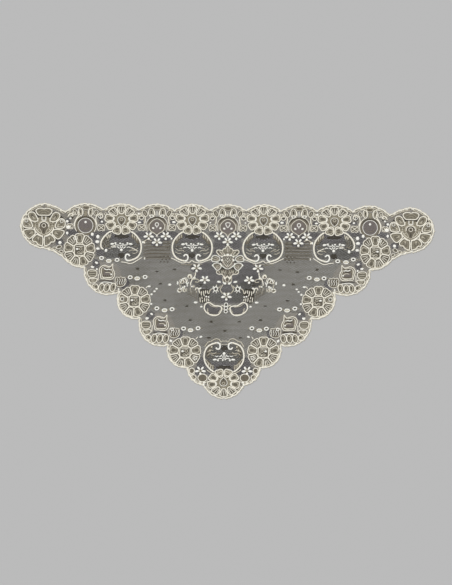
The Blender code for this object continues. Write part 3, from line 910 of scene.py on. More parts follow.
EYELETS = (
    # x,     y
    (216.9, 75.6),
    (169.7, 69.0),
    (127.6, 74.4),
    (160.8, 38.9),
    (148.0, -0.8),
    (94.7, -14.6),
    (84.6, -48.3),
    (33.8, -52.4),
    (38.1, -91.1),
)
for x, y in EYELETS:
    pen = Pen(field_gimp, x, y)
    pen.shade([pen.oval_points(0, 0, 1.9, 0.9)])
pen = Pen(field_gimp, 0.0, -73.7, alone=True)
pen.shade([pen.oval_points(0, 0, 1.9, 0.9)])

# ---------------------------------------------------------------- medallions
SCROLL = (
    # aside, up: one side of a frame, from beside the rosette round to the end of its curl
    (9.4, 15.2),
    (13.0, 12.9),
    (16.2, 9.5),
    (18.7, 5.6),
    (19.8, 1.2),
    (19.7, -2.9),
    (18.7, -6.7),
    (16.6, -10.0),
    (14.0, -11.9),
    (10.8, -13.2),
    (7.4, -14.2),
    (4.9, -13.0),
    (4.1, -10.4),
    (4.9, -8.0),
    (6.9, -7.6),
    (8.4, -9.3),
)
OPEN_SIDE = ((9.4, 15.4), (12.4, 14.4), (15.4, 12.0), (18.4, 8.5), (20.1, 5.0), (20.6, 1.5), (19.9, -1.0), (17.9, -2.8))
MEDALLIONS = (
    # name,             x,      y,     outer_end, turn
    ("medallion_outer", 256.4, 128.4, True, 1),
    ("medallion_inner", 85.4, 128.4, False, 1),
    ("medallion_point", 0.0, -137.0, False, -1),
)
scrolls = {}
for name, x, y, outer_end, t in MEDALLIONS:
    alone = x == 0
    if alone:
        lace = Lace(name + "_gimp")
        ground = field_gimp
    else:
        lace, other = Lace(name + "_right_gimp"), Lace(name + "_left_gimp")
        lace.partner = other
        ground = band_gimp
    scrolls[name] = lace
    frame_pen = Pen(lace, x, y, 0, 1, t, alone)
    for sx in (-1, 1):
        if outer_end and sx < 0:
            frame_pen.line([(-px, py) for px, py in OPEN_SIDE], "scroll", GIMP, lift=0.3)
        else:
            frame_pen.line([(sx * px, py) for px, py in SCROLL[:11]], "scroll", GIMP, lift=0.3)
            frame_pen.line([(sx * px, py) for px, py in SCROLL[10:]], "scroll", BRIGHT, lift=0.3, taper=False)
    frame_pen.line([(-9.4, 15.2), (-5.0, 16.2), (0.0, 16.4), (5.0, 16.2), (9.4, 15.2)], "hair", TOILE_PALE)
    pen = Pen(ground, x, y, 0, 1, t, alone)
    inner = both_sides(((0.0, 15.6),) + SCROLL[:9] + ((6.0, -11.0), (0.0, -11.4)))
    OPEN_SHAPES.append(curve(pen.at(inner), True, 4.0))
    pen.dusk(both_sides(((0.0, 5.0), (10.0, 5.4), (18.8, 5.0), (19.6, 1.2), (19.4, -2.9), (18.4, -6.7), (16.4, -9.8), (12.0, -11.4), (0.0, -11.4))))
    sides = (1,) if outer_end else (-1, 1)
    for sx in sides:
        # pale shoulder with its slanting threads
        shoulder = [(sx * px, py) for px, py in
                    ((17.8, 3.4), (16.6, 7.4), (13.6, 10.6), (10.0, 12.6), (9.8, 9.4), (12.8, 7.0), (15.2, 3.6))]
        pen.fill([shoulder], GROUND, turn=sx * 50.0)
        for a, b in (((10.8, 12.8), (11.2, 9.4)), ((13.0, 11.4), (13.4, 8.2)), ((15.2, 9.2), (15.4, 6.2))):
            pen.line([(sx * a[0], a[1]), (sx * b[0], b[1])], "fine", GIMP_WARM, lift=0.2)
        # open leaves low inside the frame
        pen.line([(sx * 16.6, -1.4), (sx * 13.4, -3.6), (sx * 9.8, -3.2), (sx * 7.6, -4.8)], "hair", GIMP_WARM)
        pen.line([(sx * 17.0, -4.6), (sx * 13.6, -6.6), (sx * 10.8, -6.2)], "hair", GIMP_WARM)
    # winged sprig with its drop
    for sx in (-1, 1):
        pen.line([(sx * 1.7, 1.5), (sx * 4.6, 1.7), (sx * 6.4, 2.7)], "fine", BRIGHT)
        pen.bead(sx * 9.2, 2.8, 2.1, 1.0, turn=-sx * 6)
        pen.bead(sx * 6.0, 3.6, 1.1, 0.9)
        pen.line([(sx * 1.9, -1.9), (sx * 3.0, -0.7), (sx * 4.8, 0.0)], "outline", BRIGHT)
        pen.line([(sx * 5.6, -1.0), (sx * 7.1, -0.1), (sx * 9.2, -1.1)], "fine", BRIGHT)
        pen.line([(sx * 9.8, -1.1), (sx * 13.2, -2.2)], "hair", GIMP_WARM)
        pen.line([(sx * 11.4, 1.0), (sx * 14.6, 0.2), (sx * 17.0, 1.4)], "hair", GROUND)
        pen.dark([(sx * 3.0, -3.4), (sx * 6.0, -3.0), (sx * 8.0, -4.6), (sx * 7.0, -7.0), (sx * 4.0, -6.6)])
    pen.oval(0, 0.2, 1.3, 1.3, style="fine", finish=BRIGHT)
    pen.bead(0, -3.2, 1.5, 1.5, height=1.5)
    pen.beads([(-1.2, 3.2, 1.1, 0.9), (1.4, 2.6, 0.9, 0.8)])
    pen.shade([pen.oval_points(0, 10.4, 7.6, 1.9)])
    pen.shade([pen.oval_points(0, -8.4, 3.4, 2.4)])
    if not outer_end and t > 0:
        pen.line([(-21, -11), (-17, -12.8), (-13, -14.8), (-9, -16), (-5.4, -15), (-3, -15.6), (-0.4, -13.6),
                  (2.6, -15), (6, -15.8), (10, -15.6), (14, -13.8), (18, -12.4), (21, -11)], "fine", GIMP)
        pen.line([(-11, -17.6), (-7, -17.2), (-3, -17.8), (1, -17.0), (5, -17.8), (10, -17.2)], "hair", TOILE_PALE)
    if t < 0:
        for sx in (-1, 1):
            pen.line([(sx * 18.8, 2.0), (sx * 16.0, 5.6), (sx * 12.6, 8.4), (sx * 9.8, 9.0)], "hair", GIMP_WARM)
        pen.pair([(17.4, 12.6), (14.0, 15.0), (8.6, 16.9), (3.6, 15.0), (0.2, 13.8)], style="fine", finish=GIMP_WARM)
        pen.pair([(13.0, -3.0), (8.0, -2.8), (4.0, -3.4)], style="fine", finish=GROUND)
        for sx in (-1, 1):
            pen.fill([[(sx * px, py) for px, py in
                       ((18.4, -0.6), (17.6, -5.8), (14.8, -10.8), (11.6, -12.4), (11.8, -8.6), (13.6, -4.6), (15.6, -0.6))]], TOILE)
            pen.bead(sx * 14.2, -6.2, 0.8, 1.2, finish=GIMP_WARM)
            pen.bead(sx * 12.6, -9.8, 0.9, 1.0, finish=GIMP_WARM)
            pen.spot(sx * 16.6, -2.8, 0.7, 1.1)

# outer medallion: leaf lobe on its open side and the dark strip under it
pen = Pen(band_gimp, 256.4, 128.4)
lobe = [(-10.4, 13.4), (-14.6, 12.6), (-18.0, 8.6), (-19.4, 3.6), (-18.4, -0.8), (-14.4, -1.2), (-9.8, -1.4), (-9.8, 6.0)]
pen.dusk(lobe)
for share in (0.9, 0.72, 0.54, 0.36):
    pen.line([(-10.0 + (px + 10.0) * share, 6.0 + (py - 6.0) * share) for px, py in lobe[1:6]], "hair", TOILE_MID)
pen.line([(-15.2, 11.4), (-14.0, 8.0), (-12.8, 12.4), (-11.7, 8.6), (-10.4, 13.4)], "fine", GIMP_WARM, sharp=True)
pen.spot(-17.2, 4.6, 0.8)
pen.spot(-17.6, -0.4, 0.8)
pen.bead(-15.2, -3.3, 1.3, 1.2)
pen.line([(-10.4, -0.3), (-7.4, 1.1), (-5.4, 0.2)], "fine", GIMP)
pen.line([(9.6, -0.8), (13.0, -2.4), (16.6, -4.3)], "fine", GIMP)
pen.dark([(-25, -3.4), (3.5, -3.8), (3.8, -9.4), (-25, -9.4)], smooth=False)
pen.line([(-0.4, -15.2), (4.6, -15.8), (8.1, -16.8), (11.6, -16.2), (15.6, -13.8), (20.6, -10.6)], "fine", GIMP)

# ---------------------------------------------------------------- barred grounds between the medallions
pen = Pen(band_gimp, 170.6, 121.5)
for k in range(11):
    y = 8.4 - k * 1.75
    half = 13.4 if k < 8 else 14.0
    if k < 3:
        pen.line([(-half, y), (-5.6, y)], "hair", GROUND, sharp=True)
        pen.line([(5.6, y), (half, y)], "hair", GROUND, sharp=True)
    else:
        pen.line([(-half, y), (half, y)], "hair", GROUND, sharp=True)
for ex, ey in ((11.0, 8.2), (12.4, 6.4), (11.0, 4.8), (12.8, 3.4), (11.0, 2.2), (12.4, 1.0)):
    pen.spot(ex, ey, 0.75)
for row in range(3):
    for k in range(3):
        pen.spot(3.8 + k * 3.6 + 1.8 * (row % 2), -6.8 - row * 2.6, 0.9, 0.75)
pen.line([(-13.6, 8.0), (-9.6, 10.2), (-5.4, 9.2)], "fine", GIMP_WARM)
pen.bead(-12.6, 7.2, 0.9, 1.4, turn=20, finish=GIMP)
pen.bead(-12.4, -8.4, 0.7, 1.3, finish=GIMP_WARM)

# ---------------------------------------------------------------- middle flower
flower = Lace("centre_flower_gimp")
pen = Pen(flower, 0.6, 93.4, alone=True)
pen.shade([both_sides(((0.0, 15.0), (4.0, 12.4), (10.0, 11.0), (9.6, 6.2), (15.4, 4.6), (14.8, 0.0), (14.0, -4.0), (10.0, -8.4), (9.6, -11.4), (3.4, -14.6), (0.0, -14.8)))])
crown = both_sides(((0.0, 16.0), (1.5, 15.3), (2.4, 13.4), (4.3, 13.0), (5.4, 11.3), (7.2, 11.5), (9.8, 11.8), (11.2, 10.6),
                    (11.0, 9.0), (9.6, 7.8), (8.8, 6.4), (6.0, 5.6), (3.0, 6.0), (0.0, 6.0)))
pen.fill([crown], TOILE_MID, under=False)
pen.line(crown, "fine", GIMP, closed=True)
pen.pair([(8.4, 10.4), (6.6, 8.8), (5.2, 6.8)], style="hair", finish=GIMP)
pen.line([(0.0, 14.6), (0.0, 9.4)], "hair", GIMP)
pen.pair([(5.4, 11.0), (4.6, 8.8), (2.8, 7.6)], style="fine", finish=GIMP_WARM)
pen.pair([(2.0, 13.0), (1.6, 10.4)], style="hair", finish=GIMP_WARM)
pen.bead(0, 7.3, 1.7, 0.95, height=1.6)
for sx in (-1, 1):
    pen.spot(sx * 8.8, 9.6, 1.0, 0.8)
    pen.bead(sx * 3.2, 6.6, 1.0, 1.0, height=1.6)
    pen.bead(sx * 5.7, 5.0, 1.0, 1.0, height=1.6)
    pen.bead(sx * 5.9, 1.5, 1.1, 1.2, height=1.6)
    upper = [(sx * px, py) for px, py in
             ((8.2, 4.2), (10.8, 5.9), (13.4, 6.3), (15.6, 4.8), (16.1, 2.8), (16.0, 1.0), (14.4, 0.2), (11.8, 0.0), (9.2, 0.6), (7.8, 2.2))]
    pen.fill([upper], TOILE_MID, under=False)
    pen.line(upper, "fine", BRIGHT, closed=True)
    pen.line([(sx * 8.8, 2.0), (sx * 11.4, 4.0), (sx * 13.4, 4.4)], "hair", GIMP_WARM)
    pen.line([(sx * 9.4, 1.4), (sx * 12.0, 2.0), (sx * 14.4, 2.6)], "hair", GIMP_WARM)
    pen.spot(sx * 11.8, 3.0, 0.7)
    pen.spot(sx * 13.8, 3.6, 0.5)
    lower = [(sx * px, py) for px, py in
             ((9.6, -1.2), (13.2, -1.8), (15.0, -3.5), (13.2, -6.0), (11.4, -8.0), (9.8, -8.6), (8.0, -7.4), (6.6, -5.4), (6.8, -3.2))]
    pen.fill([lower], TOILE_MID, under=False)
    pen.line(lower, "fine", BRIGHT, closed=True)
    pen.line([(sx * 7.4, -4.4), (sx * 10.0, -6.6), (sx * 11.8, -5.4)], "hair", GIMP_WARM)
    pen.spot(sx * 10.4, -3.2, 0.6)
    pen.spot(sx * 9.2, -6.0, 0.5)
    pen.bead(sx * 14.9, -3.6, 0.9, 1.2)
    pen.line([(sx * 9.0, -3.8), (sx * 11.0, -4.4), (sx * 10.2, -6.2)], "hair", GIMP_WARM)
    pen.line([(sx * 7.4, -1.0), (sx * 6.0, -3.6), (sx * 3.8, -5.6), (sx * 1.6, -6.9), (0.0, -7.3)], "fine", BRIGHT)
    pen.line([(sx * 5.2, 3.4), (sx * 4.6, 0.2), (sx * 2.6, -3.2), (0.0, -5.4)], "hair", GIMP)
# its heart is a fine lattice
heart = pen.loops([both_sides(((0.0, 5.4), (5.4, 4.0), (6.4, 1.0), (5.6, -2.6), (3.2, -5.4), (0.0, -6.6)))])
for slant in (0.92, -0.92):
    ribs(flower, heart, GIMP_WARM, True, 4.3, 0.9, slant, 0.7, 0.5)
pen.beads([(0.0, 3.2, 0.6, 0.6), (2.0, 1.6, 0.5, 0.5), (-2.0, 1.6, 0.5, 0.5), (0.0, 0.0, 0.6, 0.6), (0.0, -3.4, 0.6, 0.6)], height=1.2)
skirt = both_sides(((0.0, -8.4), (4.4, -7.6), (7.6, -8.6), (10.4, -9.0), (11.1, -10.7), (10.0, -12.0), (7.8, -12.8), (6.1, -12.4), (4.4, -13.7),
                    (3.3, -16.0), (2.3, -17.3), (0.9, -15.7), (0.0, -15.2)))
pen.fill([skirt], TOILE, under=False)
pen.pair([(10.4, -8.6), (11.1, -10.7), (10.0, -12.0), (7.8, -12.8), (6.1, -12.4), (4.4, -13.7), (3.3, -16.0), (2.3, -17.3), (0.9, -15.7), (0.0, -15.2)], style="fine", finish=GIMP)
for sx in (-1, 1):
    for ex, ey in ((9.2, -10.7), (7.0, -10.2), (4.9, -9.6), (2.6, -9.8), (5.8, -11.6), (3.4, -12.0), (1.6, -13.4)):
        pen.spot(sx * ex, ey, 0.75)
    for ex, ey in ((8.1, -10.2), (6.0, -9.4), (3.8, -10.6), (1.2, -11.4), (2.6, -13.8)):
        pen.bead(sx * ex, ey, 0.5, 0.5, height=0.9, finish=GIMP_WARM)
    for stroke in (((1.4, -8.4), (2.4, -11.4)), ((4.4, -8.2), (2.0, -13.6)), ((6.4, -8.8), (4.4, -12.4)), ((4.6, -9.4), (6.4, -12.0)), ((9.4, -9.2), (7.2, -12.2))):
        pen.line([(sx * px, py) for px, py in stroke], "hair", GIMP_WARM)
    pen.bead(sx * 2.5, -16.8, 1.1, 1.0)

# ---------------------------------------------------------------- the spray under the flower
# tulip with its leaves, and the hexagon of open net below it
pen = Pen(field_gimp, 0.4, 48.3, alone=True)
cup = [(-3.8, 4.6), (-1.7, 2.8), (0.0, 5.4), (1.7, 2.8), (3.8, 4.6), (4.4, 0.6), (3.6, -3.0), (0.0, -4.4), (-3.6, -3.0), (-4.4, 0.6)]
pen.fill([cup], TOILE)
pen.pair([(4.0, 4.4), (4.5, 1.0), (3.8, -2.0)], style="fine", finish=GIMP_WARM)
pen.pair([(0.0, 4.8), (1.7, 2.8), (3.6, 4.4)], style="fine", finish=GIMP)
pen.pair([(2.2, 1.6), (1.4, -1.0), (0.0, -1.8)], style="hair", finish=GIMP)
for sx in (-1, 1):
    pen.line([(sx * 4.2, -0.6), (sx * 3.2, -3.2), (sx * 1.4, -4.2)], "outline", BRIGHT)
    pen.bead(sx * 1.9, -3.0, 1.4, 1.1, turn=sx * 40, height=1.6)
    pen.bead(sx * 8.2, -1.6, 2.1, 1.1, turn=sx * 8, height=1.5)
    pen.line([(sx * 4.0, -4.0), (sx * 5.2, -6.4), (sx * 6.5, -8.6), (sx * 6.2, -10.6), (sx * 3.8, -13.6)], "fine", GIMP_WARM)
pen.line([(-3.8, -13.0), (3.8, -13.0)], "hair", GIMP_WARM, sharp=True)
pen.dark([(-5.4, -5.0), (5.4, -5.0), (6.4, -8.8), (3.8, -13.0), (-3.8, -13.0), (-6.4, -8.8)], smooth=False)

# rayed daisies
pen = Pen(field_gimp, 26.6, 27.2)
pen.shade([pen.oval_points(0, 0, 1.3, 1.9, turn=-20)])
pen.line(pen.oval_points(0, 0, 1.75, 2.15, turn=-20), "outline", BRIGHT, closed=True)
for arm, style, finish in (
    ([(-1.3, -1.8), (-2.7, -3.9)], "fine", BRIGHT),
    ([(0.5, -2.1), (0.9, -4.4)], "fine", BRIGHT),
    ([(1.6, -1.2), (3.0, -2.9)], "fine", GIMP),
    ([(0.4, 2.0), (0.9, 4.4)], "fine", GIMP),
    ([(-1.9, 0.4), (-3.7, 0.6)], "fine", BRIGHT),
    ([(1.9, 0.6), (3.9, 1.9), (5.0, 3.4)], "fine", GIMP_WARM),
    ([(-3.4, 0.2), (-5.2, -1.0), (-6.2, -3.0), (-6.6, -5.2)], "outline", GIMP_WARM),
):
    pen.line(arm, style, finish)
pen.bead(-2.4, 1.9, 0.7, 0.9, turn=30)

# ribbed clusters
pen = Pen(field_gimp, 53.6, 10.4)
pen.shade([[(-4.6, 6.2), (4.2, 6.2), (5.2, 0.0), (4.2, -6.2), (-4.6, -6.8)]])
for points in (
    [(-2.9, 4.6), (-2.9, 0.2)],
    [(-0.9, 5.0), (-0.6, 1.8), (0.3, -0.6)],
    [(1.1, 5.6), (1.1, 2.2)],
    [(2.9, 5.4), (3.2, 3.0), (4.7, 2.0)],
    [(-2.3, -0.8), (-1.9, -3.4)],
    [(-4.2, -1.6), (-3.7, -6.6)],
    [(-1.5, -4.2), (-1.6, -6.8)],
    [(0.4, -1.8), (0.7, -6.0)],
    [(2.7, -2.4), (2.7, -6.0)],
    [(4.5, -2.8), (4.6, -5.4)],
):
    pen.line(points, "fine", GIMP)
pen.beads([(2.1, -0.8, 1.0, 0.9), (4.4, -1.2, 0.9, 0.9)])
pen.bead(-4.4, 7.4, 1.6, 0.9, turn=20)

# stacked eyes between the crescents
pen = Pen(field_gimp, 0.0, -18.0, alone=True)
pen.shade([pen.oval_points(0, 0.4, 2.6, 5.4)])
for y, ry in ((2.9, 1.9), (-0.6, 1.7), (-3.9, 1.5)):
    pen.oval(0, y, 1.65, ry, style="fine", finish=BRIGHT)
pen.pair([(1.5, 0.8), (3.0, 1.9), (4.8, 2.4)], style="fine", finish=GIMP)
pen.pair([(1.6, -1.9), (3.0, -1.6), (4.4, 0.0)], style="fine", finish=GIMP_WARM)

# sprays at the ends of the branches
pen = Pen(field_gimp, 105.2, 36.4)
for points, style, finish in (
    ([(4.2, 7.4), (4.9, 9.2), (6.3, 10.2), (7.3, 8.6), (7.8, 6.4)], "outline", GIMP),
    ([(-2.6, 2.6), (-1.7, 5.4), (0.0, 6.5), (2.0, 6.0), (3.0, 3.4), (3.3, 1.0)], "outline", BRIGHT),
    ([(5.3, 3.0), (4.0, 0.6), (4.1, -1.6)], "outline", BRIGHT),
    ([(3.5, -3.0), (3.5, -6.8)], "fine", GIMP_WARM),
    ([(11.8, 13.0), (11.7, 10.0), (10.3, 7.4), (8.8, 6.0), (8.0, 4.0), (7.3, 1.6), (7.5, -0.6)], "outline", GIMP),
    ([(9.4, 5.6), (13.0, 6.1), (15.8, 4.4), (14.4, 2.9), (11.4, 3.3)], "fine", GIMP_WARM),
    ([(-6.0, -5.4), (-4.6, -7.0), (-3.0, -7.6)], "fine", BRIGHT),
    ([(0.6, -3.2), (0.6, -6.0)], "fine", GIMP),
    ([(12.4, -5.2), (12.7, -3.4), (14.2, -2.8), (15.6, -4.0), (16.2, -6.4), (17.2, -8.4)], "outline", GIMP),
    ([(13.4, -5.4), (13.6, -8.0)], "fine", GIMP_WARM),
    ([(-4.0, 0.8), (-2.8, -1.6), (-3.4, -3.2)], "fine", GIMP_WARM),
    ([(7.0, -2.4), (7.6, -5.6), (8.4, -8.6)], "hair", GIMP_WARM),
):
    pen.line(points, style, finish)
pen.beads([(-5.7, 2.0, 0.9, 1.8), (1.3, -1.7, 1.1, 1.0), (-0.6, -2.3, 0.8, 0.8), (-1.9, -3.8, 0.8, 0.9), (-4.6, -4.0, 0.7, 0.7),
           (8.6, -1.6, 1.0, 0.8), (10.6, 7.2, 1.7, 0.9)])
pen.bead(10.5, -1.4, 1.1, 1.2, finish=GIMP_WARM)
pen.bead(-3.2, 2.2, 0.7, 1.3, finish=GIMP_WARM)
for ex, ey in ((7.0, 5.3), (0.8, 4.0), (-0.4, 0.4), (1.4, 0.3)):
    pen.spot(ex, ey, 0.8)
pen.spot(17.4, 0.2, 2.4, 0.9)
for k in range(5):
    pen.line([(5.6 + 2.0 * k, -3.6 - 0.9 * k), (6.2 + 2.0 * k, -9.6 - 1.5 * k)], "hair", GROUND, sharp=True)
# the middle of the spray is open, dark net
DUSK_SHAPES.append(np.array([(14.0, 38.0), (40.0, 42.0), (66.0, 44.0), (80.0, 50.0), (83.0, 41.0), (64.0, 25.8), (44.5, 22.3), (42.0, 0.5), (30.0, -7.0), (12.0, -8.0)]))
OPEN_SHAPES.append(
    np.array(
        [
            (0.0, 130.0), (33.0, 124.0), (36.5, 92.5), (80.0, 89.5), (75.0, 68.0), (78.8, 58.0), (83.4, 41.0),
            (64.0, 25.8), (44.5, 22.3), (42.0, 0.5), (32.0, -7.0), (0.0, -8.0),
        ]
    )
)

# ---------------------------------------------------------------- crescents
CRESCENT = (
    # aside of X = 0, up: from its inner end over the dip and the outer lobe, and back below
    (10.6, -18.0), (13.4, -15.4), (20.5, -14.2), (27.0, -13.8), (33.0, -10.8), (38.8, -6.8), (44.8, -6.2), (49.4, -9.4),
    (52.0, -15.6), (51.6, -22.4), (47.6, -28.4), (41.2, -33.4), (32.0, -36.8), (23.6, -37.2), (16.8, -34.4), (12.8, -29.4), (10.6, -23.6),
)
crescent = Lace("crescent_right_gimp")
crescent.partner = Lace("crescent_left_gimp")
tube(crescent, curve(CRESCENT, True, 2.3), "crescent", GIMP, True, False, lift=0.3)
OPEN_SHAPES.append(np.array(CRESCENT))
pen = Pen(field_gimp, 0.0, 0.0)
pen.line([(-18.9, -8.2), (-17.9, -9.6), (-18.3, -11.4), (-16.6, -12.8)], "fine", GIMP_WARM)
pen.line([(-17.6, -3.6), (-16.0, -5.0), (-13.4, -6.4), (-8.0, -7.2)], "hair", GIMP_WARM)
pen.line([(-15.4, -14.0), (-12.0, -14.4), (-9.0, -14.2)], "hair", GIMP_WARM)
pen.line([(-5.6, -9.4), (-6.2, -11.4), (-7.6, -13.0)], "hair", GIMP_WARM)

# small outlined leaves at the spray's ends
pen = Pen(field_gimp, 110.0, 44.0)
for px, py, rx, ry, turn in (
    (0.2, 0.4, 2.4, 1.5, 140),
    (4.0, 1.8, 1.9, 2.5, 15),
    (-1.4, -8.6, 2.1, 1.3, 155),
    (2.8, -8.0, 2.2, 1.4, 115),
    (8.2, 5.6, 2.1, 2.0, 0),
):
    leaf = pen.oval_points(px, py, rx, ry, turn)
    pen.fill([leaf], GROUND)
    pen.line(leaf, "hair", GIMP, closed=True)
for k in range(4):
    pen.line([(9.8 + 1.9 * k, -5.6 - 0.6 * k), (9.4 + 1.9 * k, -9.6 - 0.9 * k)], "hair", TOILE_MID)

# ---------------------------------------------------------------- side buds
def bud(x, y, second):
    """A framed oval with bars, a cup petal, looped petals between it and the rim, and a leaf."""
    pen = Pen(side_gimp, x, y)
    outline = [(5.8, 8.6), (4.2, 6.3), (2.2, 5.6), (0.0, 6.4), (-2.6, 7.0), (-5.6, 5.9), (-7.4, 3.4), (-7.4, 0.4), (-6.4, -2.6),
               (-5.4, -6.4), (-2.4, -6.4), (0.6, -7.0), (4.4, -7.0), (6.8, -5.4), (7.8, -2.6), (7.4, 0.4), (6.2, 2.6), (5.8, 4.6)]
    pen.shade([[(px * 0.98, py * 0.98) for px, py in outline]], finish=GROUND)
    pen.line(outline, "fine", GIMP, closed=True)
    pen.line([(px * 0.78, py * 0.80) for px, py in outline[1:]], "hair", GIMP)
    pen.fill([[(-3.4, 0.9), (3.0, 0.9), (3.2, -2.9), (-3.2, -3.1)]], MAUVE, smooth=False, under=False)
    pen.line([(-3.6, 4.9), (0.8, 4.4), (3.4, 4.8)], "hair", SHADE)
    pen.line([(-2.4, 1.4), (2.6, 1.4)], "hair", SHADE)
    pen.line([(-3.0, 4.0), (-0.6, 2.6), (2.0, 3.0), (4.0, 2.4)], "outline", BRIGHT)
    pen.bead(4.4, -2.0, 0.9, 0.9)
    pen.line([(-5.2, 3.8), (-5.2, -1.4)], "hair", GIMP_WARM)
    pen.line([(-5.2, -4.6), (0.0, -5.2), (5.6, -4.8)], "hair", GIMP)
    pen.line([(-1.6, -0.4), (1.6, 0.0), (4.0, -1.2)], "fine", GIMP_WARM)
    for ex in (-3.6, -1.6, 0.4, 2.4):
        pen.line([(ex, -2.6), (ex + 0.3, -4.2)], "hair", SHADE)
    pen.line([(-8.4, -1.6), (-8.6, -8.6)], "fine", GIMP)
    pen.shade([[(-7.4, -8.0), (7.0, -8.0), (7.0, -9.4), (-7.4, -9.4)]], smooth=False)
    # cup petal and the band under it
    cup = [(-14.0, 2.1), (-17.4, 2.0), (-19.2, 0.3), (-19.0, -2.6), (-17.5, -4.8), (-14.6, -5.6), (-11.4, -4.6), (-10.0, -2.2), (-10.2, 0.6), (-12.0, 1.8)]
    pen.fill([cup], TOILE_MID)
    pen.line(cup, "fine", GIMP, closed=True)
    for level in (0.4, -1.4, -3.2):
        pen.line([(-17.6, level), (-11.6, level)], "hair", GIMP_WARM)
    for level in (-0.5, -2.3):
        pen.line([(-17.4, level), (-11.8, level)], "hair", SHADE)
    band_petal = [(-17.2, -6.6), (-17.4, -8.8), (-15.6, -10.8), (-13.4, -11.0), (-10.8, -9.8), (-9.4, -7.4), (-11.4, -6.2), (-14.4, -6.9)]
    pen.fill([band_petal], TOILE_MID)
    pen.line(band_petal, "fine", GIMP, closed=True)
    pen.line([(-15.8, -8.4), (-11.4, -7.8)], "hair", GIMP_WARM)
    pen.line([(-15.2, -9.6), (-11.8, -9.2)], "hair", GIMP_WARM)
    # looped petals along the rim
    loops = (
        ((-11.2, -14.6, 3.1, 2.8), (-4.9, -15.2, 2.7, 4.0), (0.3, -15.4, 2.7, 4.1), (6.4, -15.0, 2.7, 4.2))
        if not second
        else ((-12.2, -14.1, 2.9, 2.8), (-6.2, -15.0, 2.8, 4.3), (-0.5, -15.1, 2.8, 4.4), (5.5, -15.1, 2.8, 4.2))
    )
    for px, py, rx, ry in loops:
        shape = pen.oval_points(px, py, rx, ry, turn=-12)
        pen.fill([shape], TOILE_MID)
        pen.line(shape, "fine", GIMP, closed=True)
        pen.arc(px + 0.5, py - 0.2, rx * 0.5, ry * 0.66, 60, 250, "hair", GIMP_WARM)
        pen.spot(px + 0.6, py + 0.6, 0.6, 1.2)
    pen.line([(-6.2, -11.2), (-2.4, -9.7), (2.2, -10.0), (6.0, -10.9)], "fine", BRIGHT)
    # ribbed leaf towards the next flower
    leaf = [(8.6, -6.2), (10.4, -4.6), (12.2, -5.2), (14.0, -4.4), (16.0, -5.2), (18.0, -5.0), (19.4, -8.4), (18.6, -12.0), (15.6, -14.0), (12.0, -14.2), (9.2, -12.0)]
    pen.fill([leaf], GROUND)
    pen.line(leaf, "hair", GIMP, closed=True)
    for lx in (10.6, 13.0, 15.4, 17.6):
        pen.line([(lx - 0.4, -6.0), (lx + 0.9, -8.0), (lx - 0.5, -10.0), (lx + 0.6, -12.4)], "hair", BRIGHT, sharp=True)
        pen.spot(lx + 1.2, -7.4, 0.6, 0.8)
        pen.spot(lx + 1.2, -10.4, 0.6, 1.0)
    if second:
        pen.oval(11.6, -5.8, 1.4, 1.3, style="fine", finish=BRIGHT)
        pen.bead(10.2, -17.3, 0.8, 1.4)
        pen.bead(-10.0, 9.7, 1.0, 1.0)
        pen.bead(-14.6, 5.4, 1.2, 0.8, turn=30)
    else:
        pen.bead(-14.8, 5.3, 1.3, 0.9, turn=-20)
        pen.bead(-11.0, 9.7, 1.1, 1.1)
        pen.bead(12.3, -17.0, 0.9, 1.3)


bud(290.6, 66.0, False)
bud(155.5, -56.6, True)

# the corner between the last side flower and the point
for x, y, rx, ry, turn in ((77.0, -170.5, 2.6, 2.7, 0), (72.6, -186.0, 2.6, 2.4, -25), (51.0, -187.5, 4.6, 3.9, 0)):
    pen = Pen(point_gimp, x, y)
    shape = pen.oval_points(0, 0, rx, ry, turn)
    pen.fill([shape], GROUND)
    pen.line(shape, "fine", GIMP, closed=True)
    pen.arc(0, -0.2 * ry, rx * 1.25, ry * 1.2, 200, 340, "hair", GIMP)
pen = Pen(point_gimp, 51.0, -198.4)
pen.beads([(-2.0, 0.4, 1.3, 0.8), (1.6, 0.0, 1.3, 0.8)])
pen.line([(-5.0, 1.6), (-7.0, 0.4), (-9.6, 3.4)], "fine", GIMP)

# small arches over the scroll of the point
pen = Pen(field_gimp, 0.0, -137.0, alone=True)
pen.pair([(3.4, 14.6), (5.4, 17.2), (8.4, 18.0), (11.2, 17.0), (13.6, 15.4), (16.2, 14.8), (18.0, 12.6), (19.6, 9.8)], style="fine", finish=GIMP_WARM)
pen.pair([(0.0, 15.4), (1.8, 15.9), (3.6, 14.4)], style="fine", finish=GIMP_WARM)
pen.pair([(0.0, 12.6), (2.2, 12.0), (4.4, 13.6)], style="hair", finish=GIMP_WARM)
for bx, by in ((5.0, 15.2), (8.4, 16.2), (11.6, 15.4), (14.8, 13.8), (17.2, 11.4)):
    pen.pair([(bx, by), (bx + 0.5, by + 1.6)], style="hair", finish=TOILE_PALE)

